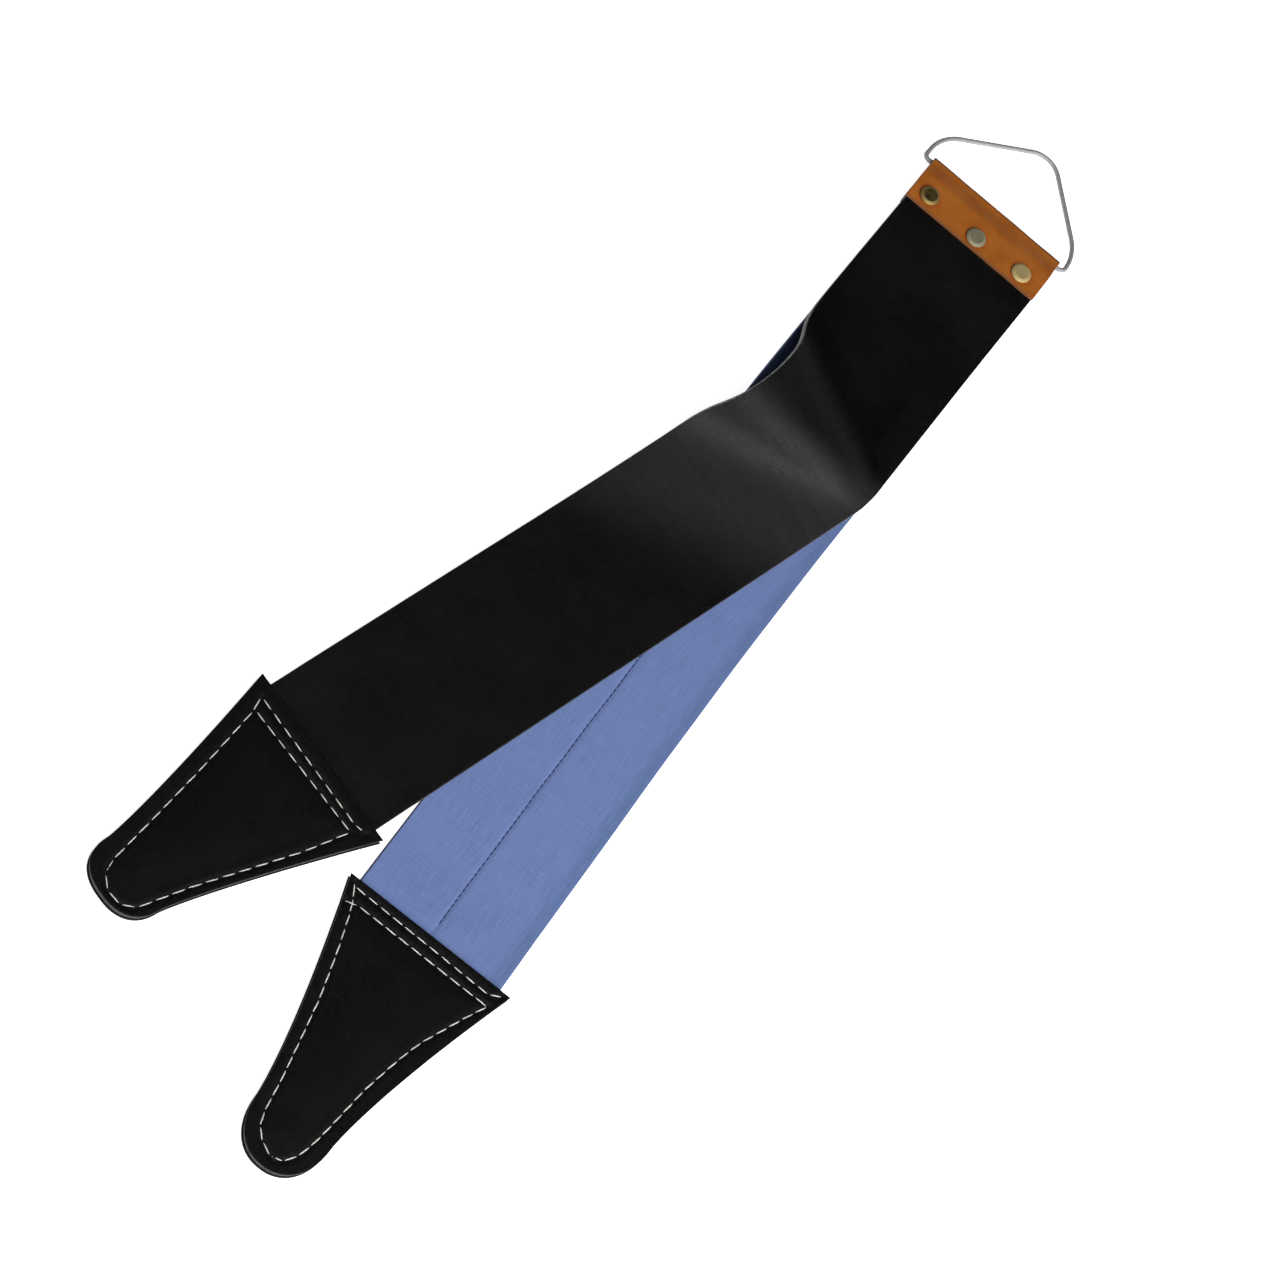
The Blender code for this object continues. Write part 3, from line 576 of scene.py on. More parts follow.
def tail_lift(past, share):
    """Height of the slow tail past the foot of the wave, largest at the strap's inner edge."""
    fade = 1.0 - np.clip((past + TAIL_BEFORE) / TAIL_LENGTH, 0.0, 1.0)
    rise = smooth_step((past + TAIL_BEFORE) / TAIL_RISE)
    return (TAIL_OUTER + (TAIL_INNER - TAIL_OUTER) * share) * rise * fade ** 2


def softened(runs, heights):
    """Heights along the strap with their bends rounded."""
    weight = np.exp(-0.5 * (np.arange(-BEND_STEPS, BEND_STEPS + 1) * BEND_STEP / BEND_REACH) ** 2)
    weight /= weight.sum()
    result = heights.copy()
    for k in range(heights.shape[1]):
        grid = np.arange(runs[0, k], runs[-1, k], BEND_STEP)
        level = np.interp(grid, runs[:, k], heights[:, k])
        level = np.convolve(np.pad(level, BEND_STEPS, mode="edge"), weight, mode="valid")
        result[:, k] = np.interp(runs[:, k], grid, level)
    return result


def runs_through(*stretches):
    """Runs of a strap's rows, from (start, end, count) for each stretch; neighbours share one row."""
    return np.concatenate([np.linspace(start, end, count)[1 if k else 0:]
                           for k, (start, end, count) in enumerate(stretches)])


def leather_rows(places):
    """The leather strap's rows of points and their flat (across, along) places, and the wave's foot line."""
    level = LEATHER_ON_CANVAS + LEATHER_THICKNESS / 2
    drop = STRAP_LOW_IN_HANDLE - LEATHER_ON_CANVAS
    drop_from = LEATHER_RUN - LEATHER_DROP_RUN - LEVEL_END
    share = places / LEATHER_WIDTH
    across = places[:, None]
    points, flat = [], []

    def row(line, run):
        points.append(line)
        flat.append(np.stack((places, np.broadcast_to(run, places.shape)), axis=1))

    upper = runs_through((-STRAP_IN_CLIP, 0.0, 10), (0.0, LEATHER_TOP_END, 19),
                         (LEATHER_TOP_END, WAVE_START, 30))
    for run in upper[:-1]:
        edge = np.array((LEATHER_WIDTH / 2, MOUTH_Y - run, level + lay_down(run)))
        row(edge + np.array((-1.0, 0.0, 0.0)) * across, run)
    base, ruling, length, outer_run, inner_run = wave()
    for k in range(len(base)):
        start = base[k] + np.array((0.0, 0.0, level))
        run = outer_run[k] + (inner_run[k] - outer_run[k]) * share
        row(start + ruling[k] * length[k] * share[:, None], run)
    foot_row, foot_flat, wedge_at = points[-1], flat[-1], len(points)

    down = np.array((-math.sin(TURN), -math.cos(TURN), 0.0))
    inward = np.array((-math.cos(TURN), math.sin(TURN), 0.0))
    for run in runs_through((WAVE_END + 3 * MM, LEATHER_END_START, 50),
                            (LEATHER_END_START, LEATHER_RUN + STRAP_IN_HANDLE, 32)):
        edge = base[-1] + down * (run - TURN_AT - TURN_LENGTH / 2)
        edge[2] = level + drop * smooth_step((run - drop_from) / LEATHER_DROP_RUN)
        row(edge + inward * across, run)
    first_row, first_flat = points[wedge_at], flat[wedge_at]
    for k in range(WEDGE_STEPS - 1, 0, -1):
        points.insert(wedge_at, foot_row + (first_row - foot_row) * k / WEDGE_STEPS)
        flat.insert(wedge_at, foot_flat + (first_flat - foot_flat) * k / WEDGE_STEPS)
    return np.array(points), np.array(flat), foot_row[[0, -1], :2]


def leather_surface(places):
    """The leather strap's middle surface: points, the flat place of each, and the share of painted sheen at
    each, a lighter tone in and past the wave.
    """
    points, flat, foot_line = leather_rows(places)
    along = flat[..., 1]
    past, share = from_foot(points, *foot_line)
    points[..., 2] += tail_lift(past, share)
    # painted sheen, standing in for the highlight: from before the wave's foot to past it, less towards the
    # inner edge
    bent = smooth_step((past - SHEEN_FROM) / SHEEN_RISE) * (1.0 - smooth_step((past - SHEEN_UNTIL) / SHEEN_FADE))
    bent = bent * (1.0 - 0.3 * share)
    on_wave = (along > WAVE_START - ROUNDED_BEFORE) & (along < WAVE_END + ROUNDED_AFTER)
    points[..., 2] = np.where(on_wave, softened(along, points[..., 2]), points[..., 2])
    runs = along[:, 0]
    fade = 60 * MM
    uneven = smooth_step((runs - fade) / fade) * smooth_step((LEATHER_END_START - runs) / fade)
    points[..., 2] += 0.25 * MM * (1.0 + ripple(flat[..., 0], along, 95 * MM, 4)) * uneven[:, None]
    x, y = points[..., 0].copy(), points[..., 1] - MOUTH_Y
    points[..., 0] = x * math.cos(LEAN) + y * math.sin(LEAN)
    points[..., 1] = MOUTH_Y - x * math.sin(LEAN) + y * math.cos(LEAN)
    return points, flat, bent


def edge_mark(places, width, reach):
    return 1.0 - smooth_step(np.minimum(places, width - places) / reach)


def make_leather_strap(surface):
    places, share = rounded_section(LEATHER_WIDTH, 0.8 * MM, 34)
    points, flat, bent = leather_surface(places)
    worn = edge_mark(places, LEATHER_WIDTH, 0.42 * MM) * (0.3 + 0.7 * places / LEATHER_WIDTH)
    none = np.zeros_like(bent)
    marks = {"edge": np.broadcast_to(worn, bent.shape), "groove": none, "bent": bent}
    cuts = (LEATHER_TOP_END, LEATHER_END_START)
    return strap_pieces("leather_strap", cuts, points, share, LEATHER_THICKNESS, flat, surface, marks, none)


def make_canvas_layer(name, low_in_strap, shift, surface, seam_depth):
    """One layer of the canvas strap. seam_depth is how far the seam pulls its face in, or 0."""
    seam = CANVAS_WIDTH / 2 + np.array([-2.4, -1.6, -1.0, -0.6, -0.3, 0.3, 0.6, 1.0, 1.6, 2.4]) * MM
    places, share = rounded_section(CANVAS_WIDTH, 0.45 * MM, 40, seam)
    rise_from = CANVAS_RUN - CANVAS_RISE_RUN
    runs = runs_through((-STRAP_IN_CLIP, CANVAS_TOP_END, 40), (CANVAS_TOP_END, rise_from, 100),
                        (rise_from, CANVAS_RUN + STRAP_IN_HANDLE, 30))
    across, along = np.broadcast_arrays(places[None, :] - CANVAS_WIDTH / 2, runs[:, None])
    neck = 1.0 - CANVAS_NECK / CANVAS_WIDTH * canvas_arch(along) ** 2
    side = np.abs(across) / (CANVAS_WIDTH / 2)
    fade = 40 * MM
    uneven = smooth_step(along / fade) * smooth_step((CANVAS_RUN - along) / fade)
    x = canvas_centre(along) + shift + across * neck
    x = x + 0.22 * MM * side ** 4 * ripple(np.sign(across), along, 60 * MM, 7) * uneven
    y, z = MOUTH_Y - along, canvas_low(along) + low_in_strap + CANVAS_LAYER / 2
    dip = -seam_depth * bell(across, 1.1 * MM)
    dip = dip + 0.03 * MM * ripple(across, y, 22 * MM, 9) * (side < 0.97)
    # painted shade along the folded +X edge: full within 2 mm of it, gone 9.5 mm in
    shade_band = 1.0 - smooth_step((CANVAS_WIDTH - places - 2 * MM) / (7.5 * MM))
    marks = {"edge": np.broadcast_to(edge_mark(places, CANVAS_WIDTH, 0.7 * MM), x.shape),
             # painted shade in the seam's groove, on the face layer only
             "groove": bell(across, 0.35 * MM) * (seam_depth > 0),
             "selvedge": np.broadcast_to(shade_band, x.shape)}
    return strap_pieces(name, (CANVAS_TOP_END,), np.stack((x, y, z), axis=2), share, CANVAS_LAYER,
                        np.stack((across, along), axis=2), surface, marks, dip, -1.0)


# ---- stitches

def stitch_shape(start, end, width, lift, sink, turns=1.6, rings=13, sides=12):
    """One raised, two-ply twisted stitch between two holes, its ends going down into the leather."""
    start, end = np.asarray(start, float), np.asarray(end, float)
    s = np.linspace(0.0, 1.0, rings)
    arch = np.sin(math.pi * s) ** 0.5
    path = start + (end - start) * s[:, None]
    path[:, 2] += lift * arch - sink * (1.0 - arch)
    radius = width / 2 * (0.45 + 0.55 * arch ** 0.7)

    def twist(k, angle):
        return 0.16 * np.cos(2 * (angle - turns * 2 * math.pi * s[k]))

    return tube(path, radius, sides, twist=twist)


def gathered(shapes):
    """The points and faces of many shapes as one."""
    verts, faces = [], []
    for shape_verts, shape_faces in shapes:
        first = sum(len(v) for v in verts)
        verts.append(shape_verts)
        faces += [tuple(i + first for i in face) for face in shape_faces]
    return np.concatenate(verts), faces


def hole_places(row, pitch):
    """The needle holes of a row, evenly spaced, with one at each end of the row."""
    points = local_points(row)
    spans = np.linalg.norm(np.diff(points, axis=0), axis=1)
    ends = np.concatenate(([0.0], np.cumsum(spans)))
    count = max(1, round(ends[-1] / pitch))
    holes = []
    for distance in ends[-1] * np.arange(count + 1) / count:
        k = min(int(np.searchsorted(ends, distance, "right")) - 1, len(spans) - 1)
        holes.append(points[k] + (points[k + 1] - points[k]) / spans[k] * (distance - ends[k]))
    return holes


def rows_of_stitches(name, rows, pitch, height, upward, place, surface, seed, width):
    """Stitches along rows on a ply. height gives the ply's surface, and upward is 1 or -1."""
    draws = np.random.default_rng(seed)
    shapes = []
    for row in rows:
        holes = hole_places(row, pitch)
        for first, second in zip(holes, holes[1:]):
            span = second - first
            long = np.linalg.norm(span)
            slant = np.array((-span[1], span[0])) / long * draws.uniform(0.05, 0.16) * MM
            short = span / long * min(STITCH_SPACE / 2, 0.12 * long)
            ends = [[*end, height(*end)] for end in (first + short + slant, second - short - slant)]
            size = width * draws.uniform(0.92, 1.08)
            shapes.append(stitch_shape(*ends, size, 0.22 * MM * upward, 0.30 * MM * upward))
    obj = make_piece(name, *gathered(shapes), surface)
    obj.data.transform(place)
    return obj


def local_points(row):
    """Stitch points, given as (down, across) in millimetres, as x and y in the handle's own frame."""
    return np.array([(across * MM, -down * MM) for down, across in row])


def make_seam(surface):
    """Small sunk stitches down the middle of the canvas, wandering a little."""
    pitch, width = 3.1 * MM, 0.5 * MM
    level = CANVAS_THICKNESS - 0.28 * MM
    shapes = {"top": [], "main": []}
    run = 6 * MM
    while run < CANVAS_RUN - 5 * MM - pitch:
        ends = []
        for r in (run + 0.1 * MM, run + pitch - 0.1 * MM):
            wander = 0.22 * MM * float(ripple(np.array(r), np.array(0.0), 26 * MM, 12))
            ends.append((float(canvas_centre(r)) + wander, MOUTH_Y - r, float(canvas_low(r)) + level))
        part = "top" if run + pitch < CANVAS_TOP_END else "main"
        shapes[part].append(stitch_shape(*ends, width, 0.05 * MM, 0.16 * MM, 1.2, 7, 8))
        run += pitch
    return [make_piece("canvas_seam_thread_" + part, *gathered(shapes[part]), surface) for part in shapes]


# ---- handles

def half_width(handle, down):
    share = np.clip(1.0 - down / handle["tip_at"], 0.0, None)
    tip = handle["tip_half_width"]
    return tip + (handle["half_width"] - tip) * share ** handle["flare"]


SIDE_ROWS, TIP_ROWS = 110, 26
ROW_PINCH, HOLE_PINCH, BACK_PINCH, CROWN = 0.42 * MM, 0.3 * MM, 0.72 * MM, 0.7 * MM
COLUMNS = np.linspace(-1.0, 1.0, 89)


def handle_rows(handle, inset, start):
    """Half width and distance down of each row across a handle, moved in from its outline."""
    tip_at, power = handle["tip_at"], 2.0 / handle["tip_power"]
    down = start + inset + (tip_at - start - inset) * np.arange(SIDE_ROWS) / SIDE_ROWS
    angle = np.linspace(0.0, math.pi / 2, TIP_ROWS + 1)
    tip_half, tip_length = handle["tip_half_width"] - inset, handle["tip_length"] - inset
    halves = np.concatenate((half_width(handle, down) - inset, tip_half * np.abs(np.cos(angle)) ** power))
    halves[-1] = 0.0
    return halves, np.concatenate((down, tip_at + tip_length * np.sin(angle) ** power))


def leaned(handle, points):
    """Moves points sideways by the handle's lean."""
    points = np.array(points)
    points[:, 0] += handle["lean"] * points[:, 1]
    return points


def outline_ring(handle, inset, start):
    """Points once round the outline: along the wide edge, down +X, round the tip and up -X."""
    halves, downs = handle_rows(handle, inset, start)
    wide = [(halves[0] * c, -downs[0]) for c in COLUMNS]
    right = [(h, -d) for h, d in zip(halves[1:-1], downs[1:-1])]
    left = [(-h, d) for h, d in right[::-1]]
    return leaned(handle, wide + right + [(0.0, -downs[-1])] + left)


def plate_shape(handle, top, bottom, edge, inset=0.0, start=0.0):
    """A closed, round-edged plate in a handle's outline, as points, faces and each point's distance from
    the outline. top and bottom give heights at x and y."""
    insets = edge * np.array([0.0, 0.04, 0.13, 0.28, 0.5, 0.75])
    share = (1.0 - (1.0 - insets / edge) ** 3) ** (1 / 3)
    rings = [outline_ring(handle, inset + s, start) for s in insets]
    around = len(rings[0])
    halves, downs = handle_rows(handle, inset + edge, start)
    rows, width = len(halves) - 1, len(COLUMNS)
    grid = [(h * c, -d) for h, d in zip(halves[:-1], downs[:-1]) for c in COLUMNS]
    grid = leaned(handle, grid + [(0.0, -downs[-1])])
    apex = rows * width
    border = [*range(width), *range(2 * width - 1, apex, width), apex, *range(apex - width, 0, -width)]
    verts, depths, faces = [], [], []

    def place(xy, z, depth):
        first = len(verts)
        verts.extend((x, y, h) for (x, y), h in zip(xy, z))
        depths.extend([depth] * len(xy))
        return first

    def ring_at(k, surface, other):
        """One ring of a face, between its surface and the middle of the plate."""
        here, there = surface(*rings[k].T), other(*rings[k].T)
        middle = (here + there) / 2
        first = place(rings[k], middle + (here - middle) * share[k], insets[k])
        return range(first, first + around)

    def side(surface, other):
        """The grid of one face, and its loops of points from the grid's border outwards."""
        first = place(grid, surface(*grid.T), edge)
        last = first + apex - width
        faces.extend(grid_faces(rows, width, first=first))
        faces.extend((c, c + 1, first + apex) for c in range(last, last + width - 1))
        inner_rings = range(len(rings) - 1, 0, -1)
        return [[first + b for b in border]] + [ring_at(k, surface, other) for k in inner_rings]

    sides = side(top, bottom), side(bottom, top)
    rim = ring_at(0, top, bottom)
    for loops in sides:
        for one, two in zip(loops, [*loops[1:], rim]):
            for k in range(around):
                after = (k + 1) % around
                faces.append((one[k], one[after], two[after], two[k]))
    return np.array(verts), faces, np.array(depths)


def distance_to_rows(x, y, rows):
    """Distance from each point to the nearest stitch row."""
    best = np.full(x.shape, 1.0)
    for row in rows:
        points = local_points(row)
        for a, b in zip(points, points[1:]):
            span = b - a
            t = np.clip(((x - a[0]) * span[0] + (y - a[1]) * span[1]) / (span @ span), 0.0, 1.0)
            best = np.minimum(best, np.hypot(x - a[0] - t * span[0], y - a[1] - t * span[1]))
    return best


def distance_to_holes(x, y, rows, pitch):
    best = np.full(x.shape, 1.0)
    for row in rows:
        for hole in hole_places(row, pitch):
            best = np.minimum(best, np.hypot(x - hole[0], y - hole[1]))
    return best


def make_handle(name, handle, place, leather, white, seed):
    """Two stitched plies and the core between them, as (piece, node, slot)."""
    rows = handle["edge_rows"] + handle["outer_rows"]
    pitch = handle["stitch"]
    front_low, front_top = (corner.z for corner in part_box(name + "_front"))

    def inside(x, y):
        """1 well inside the stitches, 0 at the outline."""
        room = np.minimum(half_width(handle, np.clip(-y, 0.0, None)) - np.abs(x - handle["lean"] * y), -y)
        room = np.minimum(room, handle["tip_at"] + handle["tip_length"] + y)
        return smooth_step((room - 6 * MM) / (16 * MM))

    def front_height(x, y):
        row, hole = distance_to_rows(x, y, rows), distance_to_holes(x, y, rows, pitch)
        pinch = -ROW_PINCH * bell(row, 1.3 * MM) - HOLE_PINCH * bell(hole, 0.8 * MM)
        crown = CROWN * inside(x, y) * (1 - bell(row, 5 * MM))
        return front_top + pinch + crown + 0.10 * MM * ripple(x, y, 30 * MM, seed)

    def back_height(x, y):
        return BACK_PINCH * bell(distance_to_rows(x, y, rows), 1.25 * MM) + 0.02 * MM

    def level(height):
        return lambda x, y: np.full(np.shape(x), height)

    def leather_piece(node, shape, edge_reach, groove):
        verts, faces, inset = shape
        marks = {"edge": 1.0 - smooth_step(inset / edge_reach), "groove": groove(verts)}
        piece = make_piece(node + DETAIL, verts, faces, leather, verts[:, :2], marks)
        piece.data.transform(place)
        return piece

    def sewn_groove(verts):
        return bell(distance_to_rows(verts[:, 0], verts[:, 1], rows), 0.9 * MM)

    pieces = []
    sides = (("front", front_height, level(front_low), front_height, 1.0),
             ("back", level(PLY), back_height, back_height, -1.0))
    for side, top, bottom, sewn, upward in sides:
        node = f"{name}_{side}"
        ply = leather_piece(node, plate_shape(handle, top, bottom, 0.7 * MM), 0.16 * MM, sewn_groove)
        pieces.append((ply, node, "handle_leather"))
        for kind, lines in (("edge", handle["edge_rows"]), ("row", handle["outer_rows"])):
            thread_node = f"{node}_{kind}_thread"
            stitches = rows_of_stitches(thread_node + DETAIL, lines, pitch, sewn, upward, place, white,
                                        seed + len(pieces), handle["stitch_width"])
            pieces.append((stitches, thread_node, "white_thread"))
    node = name + "_core"
    core_low, core_top = (corner.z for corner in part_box(node))
    inset = 0.45 * MM
    core = plate_shape(handle, level(core_top), level(core_low), 0.5 * MM, inset,
                       STRAP_IN_HANDLE + 2.5 * MM - inset)
    core = leather_piece(node, core, 0.3 * MM, lambda verts: np.zeros(len(verts)))
    pieces.append((core, node, "black_leather"))
    return pieces


# ---- clip, rivets and ring

RIVET_SIDES = ("left", "middle", "right")
RIVET_SEGMENTS = 72
RIVET_DENT = 0.22 * MM
CLIP_LUMPS = 0.12 * MM
SIDE_WOBBLE, MOUTH_WOBBLE = 0.25 * MM, 0.22 * MM
DARK_FOLD = 2.9 * MM  # width of the dark line along the fold


def rivet_axis(side):
    lowest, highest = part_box("rivet_cap_" + side)
    return (lowest.x + highest.x) / 2, (lowest.y + highest.y) / 2


def clip_path():
    """Middle line of the folded clip in Y and Z, from the back leg round the wire to the front leg."""
    fold = WIRE_RADIUS + GAP + CLIP_LEATHER / 2
    back = low("ring_clip").z + CLIP_LEATHER / 2
    axis_y, axis_z = high("ring_clip").y - fold - CLIP_LEATHER / 2, back + fold
    front = CANVAS_LOW_IN_CLIP + LEATHER_ON_CANVAS + LEATHER_THICKNESS + GAP + CLIP_LEATHER / 2
    leg_end = MOUTH_Y + CLIP_FLAT_LEG
    slope_end = leg_end + 0.6 * MM
    path = [(MOUTH_Y + CLIP_FLAT_LEG * k / 12, back) for k in range(12)]
    path += [(leg_end + (axis_y - leg_end) * k / 8, back) for k in range(8)]
    for angle in np.linspace(-math.pi / 2, math.pi / 2, 25):
        path.append((axis_y + fold * math.cos(angle), axis_z + fold * math.sin(angle)))
    top = axis_z + fold
    for share in np.arange(1, 13) / 12:
        path.append((axis_y + (slope_end - axis_y) * share, top + (front - top) * smooth_step(share)))
    path += [(slope_end + (MOUTH_Y - slope_end) * k / 14, front) for k in range(1, 15)]
    return np.array(path)


def make_clip(surface):
    """The folded clip: dented round its rivets, dark along the fold, and a little uneven."""
    path = clip_path()
    clip_low, clip_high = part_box("ring_clip")
    width = clip_high.x - clip_low.x
    places, share = rounded_section(width, 0.6 * MM, 72)
    length = np.concatenate(([0.0], np.cumsum(np.linalg.norm(np.diff(path, axis=0), axis=1))))
    front_leg = (np.arange(len(length)) > len(length) // 2)[:, None]
    x = np.tile(clip_low.x + places, (len(length), 1))
    y, z, along = (np.tile(values[:, None], (1, len(places))) for values in (path[:, 0], path[:, 1], length))
    mouth = smooth_step((MOUTH_Y + 4 * MM - y) / (4 * MM)) * front_leg
    side_wobble = SIDE_WOBBLE * ripple(x, y, 18 * MM, 21) * (np.abs(x) / clip_high.x) ** 12
    mouth_wobble = MOUTH_WOBBLE * mouth * ripple(x, 0 * x, 24 * MM, 22)
    points = np.stack((x + side_wobble, y + mouth_wobble, z), axis=2)
    dent = np.zeros_like(x)
    for side in RIVET_SIDES:
        centre = rivet_axis(side)
        away = np.hypot(x - centre[0], y - centre[1])
        dent = dent + bell(np.clip(away - 4.9 * MM, 0.0, None), 1.6 * MM) * front_leg
    dent = np.clip(dent, 0.0, 1.0)
    ends = np.minimum(length, length[-1] - length)[:, None]
    fold_start = clip_high.y - DARK_FOLD - 0.40 * MM * ripple(x, 0 * x, 7 * MM, 24)
    marks = {
        "edge": np.maximum(edge_mark(places, width, 0.35 * MM), 1.0 - smooth_step(ends / (0.5 * MM))),
        "dent": dent,
        "fold": smooth_step((y - fold_start) / (0.8 * MM)),
    }
    lumps = CLIP_LUMPS * ripple(x, y, 21 * MM, 23) * front_leg
    offset = (lumps - RIVET_DENT * dent) * (share[None, :] > 0.9)
    flat = np.stack((x, along), axis=2)
    return swept_strap("ring_clip" + DETAIL, points, share, CLIP_LEATHER, flat, surface, marks, offset, -1.0)


def turned(name, profile, surface, centre, rim):
    """A round piece from a profile of (radius, height), closed at the axis, with its rim marked."""
    angles = np.linspace(0.0, 2 * math.pi, RIVET_SEGMENTS, endpoint=False)
    verts = [(centre[0] + radius * math.cos(angle), centre[1] + radius * math.sin(angle), height)
             for radius, height in profile for angle in angles]
    marks = np.repeat([1.0 if k in rim else 0.0 for k in range(len(profile))], RIVET_SEGMENTS)
    faces = grid_faces(len(profile), RIVET_SEGMENTS, around=True)
    return make_piece(name, verts, faces, surface, None, {"rim": marks})


# Rivet profiles in millimetres, as (radius, height): heights of a cap's top are from its crown, of its hollow
# from its base, and of a post's end from its top. POST_RIM has (distance in from the rim, height) instead.
CAP_TOP = ((0.0, -0.07), (1.5, -0.07), (2.6, -0.04), (3.3, 0.0), (3.65, -0.05), (4.0, -0.18), (4.4, -0.42),
           (4.75, -0.7))
CAP_HOLLOW = ((1.9, 0.0), (1.8, 0.12), (1.8, 0.7), (0.0, 0.7))
POST_END = ((0.0, 0.0), (1.1, 0.0), (1.4, -0.12), (1.5, -0.35))
POST_SHANK = ((1.5, 1.05), (1.62, 0.9))
POST_RIM = ((0.55, 0.9), (0.2, 0.82), (0.0, 0.5), (0.08, 0.28), (0.35, 0.1), (0.9, 0.01), (1.6, 0.05))
POST_FOOT = ((2.0, 0.16), (0.9, 0.2), (0.0, 0.2))


def make_rivets(surfaces):
    """The caps and posts, as (piece, node)."""
    def raised(profile, level=0.0):
        return [(r * MM, level + h * MM) for r, h in profile]

    pieces = []
    for side, surface in zip(RIVET_SIDES, surfaces):
        cap_node, post_node = "rivet_cap_" + side, "rivet_post_" + side
        lowest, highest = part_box(cap_node)
        radius, base, crown = (highest.x - lowest.x) / 2, lowest.z, highest.z
        rise = crown - base
        flank = [(radius, base + 0.3 * rise), (radius - 0.04 * MM, base + 0.15 * rise),
                 (radius - 0.2 * MM, base)]
        cap = raised(CAP_TOP, crown) + flank + raised(CAP_HOLLOW, base)
        rim = [(radius - r * MM, h * MM) for r, h in POST_RIM]
        post = raised(POST_END, high(post_node).z) + raised(POST_SHANK) + rim + raised(POST_FOOT)
        for node, profile, rim_points in ((cap_node, cap, range(4, 9)), (post_node, post, range(8, 12))):
            pieces.append((turned(node + DETAIL, profile, surface, rivet_axis(side), rim_points), node))
    return pieces


# Corners of the ring in millimetres: x, distance from the fold's axis, and bend radius
RING_CORNERS = ((-42.6, 0.0, 2.6), (-42.2, 16.2, 21.0), (5.3, 52.0, 12.5), (42.0, 13.0, 24.0),
                (42.2, 0.0, 3.0))
RING_REACH = 47.8 * MM  # from the fold's axis to where the ring meets the floor


def rounded_loop(corners, steps, straight):
    """Points round a closed outline with round corners, the straight stretches divided too."""
    places = [Vector((x, y)) * MM for x, y, _ in corners]
    points = []
    for k, here in enumerate(places):
        radius = corners[k][2] * MM
        back = (places[k - 1] - here).normalized()
        ahead = (places[(k + 1) % len(places)] - here).normalized()
        half = back.angle(ahead) / 2
        centre = here + (back + ahead).normalized() * radius / math.sin(half)
        first = here + back * radius / math.tan(half) - centre
        sweep = first.angle_signed(here + ahead * radius / math.tan(half) - centre)
        points += [centre + Matrix.Rotation(-sweep * j / steps, 2) @ first for j in range(steps + 1)]
    dense = []
    for a, b in zip(points, points[1:] + points[:1]):
        count = max(1, int((b - a).length / straight))
        dense += [a + (b - a) * j / count for j in range(count)]
    return dense


def make_ring(surface):
    axis = joint("ring_swing")["pos_m"]
    droop = math.asin((axis[2] - WIRE_RADIUS) / RING_REACH)
    path = [(axis[0] + p.x, axis[1] + p.y * math.cos(droop), axis[2] - p.y * math.sin(droop))
            for p in rounded_loop(RING_CORNERS, 16, 3 * MM)]
    verts, faces = tube(path, WIRE_RADIUS, 24, closed=True)
    return make_piece("hanging_ring" + DETAIL, verts, faces, surface, None, {"rim": np.zeros(len(verts))})


# ---- putting the strop together

def dress(piece, slot, *nodes):
    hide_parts(*nodes)


def rivet_hole(side):
    """A round bar through the place of one rivet."""
    x, y = rivet_axis(side)
    shape = bmesh.new()
    bmesh.ops.create_cone(shape, cap_ends=True, segments=40, radius1=1.75 * MM, radius2=1.75 * MM, depth=0.04,
                          matrix=Matrix.Translation((x, y, 0.005)))
    mesh = bpy.data.meshes.new("rivet_hole_" + side)
    shape.to_mesh(mesh)
    shape.free()
    return put_in_scene("rivet_hole_" + side, mesh)


def pierce(piece, holes):
    """Cuts the rivet holes through a piece."""
    for hole in holes:
        cut = piece.modifiers.new(hole.name, "BOOLEAN")
        cut.operation, cut.solver, cut.object = "DIFFERENCE", "EXACT", hole
    bpy.context.view_layer.update()
    whole = piece.data
    piece.data = bpy.data.meshes.new_from_object(piece.evaluated_get(bpy.context.evaluated_depsgraph_get()))
    piece.modifiers.clear()
    bpy.data.meshes.remove(whole)


def hang(pieces, node, slot):
    """Dresses each piece of a strap, which hides the strap's node, and bakes the piece's place into its
    points.
    """
    for piece in pieces:
        dress(piece, slot, node)
        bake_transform(piece)


def build_clip(holes):
    """The clip, its rivets and the ring."""
    brasses = (aged_metal("brass_dark", (0.30, 0.21, 0.075), (0.050, 0.038, 0.016), 300.0, 0.95, 0.72),
               aged_metal("brass_grey", (0.27, 0.24, 0.15), (0.17, 0.165, 0.11), 240.0, 0.85, 0.82, 0.6),
               aged_metal("brass_gold", (0.42, 0.33, 0.145), (0.31, 0.245, 0.115), 260.0, 0.70, 0.78, 0.6))
    nickel = aged_metal("nickel_wire", (0.50, 0.50, 0.51), (0.22, 0.23, 0.24), 120.0, 0.5, 0.64)
    clip = make_clip(tan_leather())
    pierce(clip, holes)
    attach(clip, "clip")
    dress(clip, "tan_leather", "ring_clip")
    for piece, node in make_rivets(brasses):
        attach(piece, "clip")
        dress(piece, "aged_brass", node)
    ring = make_ring(nickel)
    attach(ring, "ring")
    dress(ring, "nickel_wire", "hanging_ring")


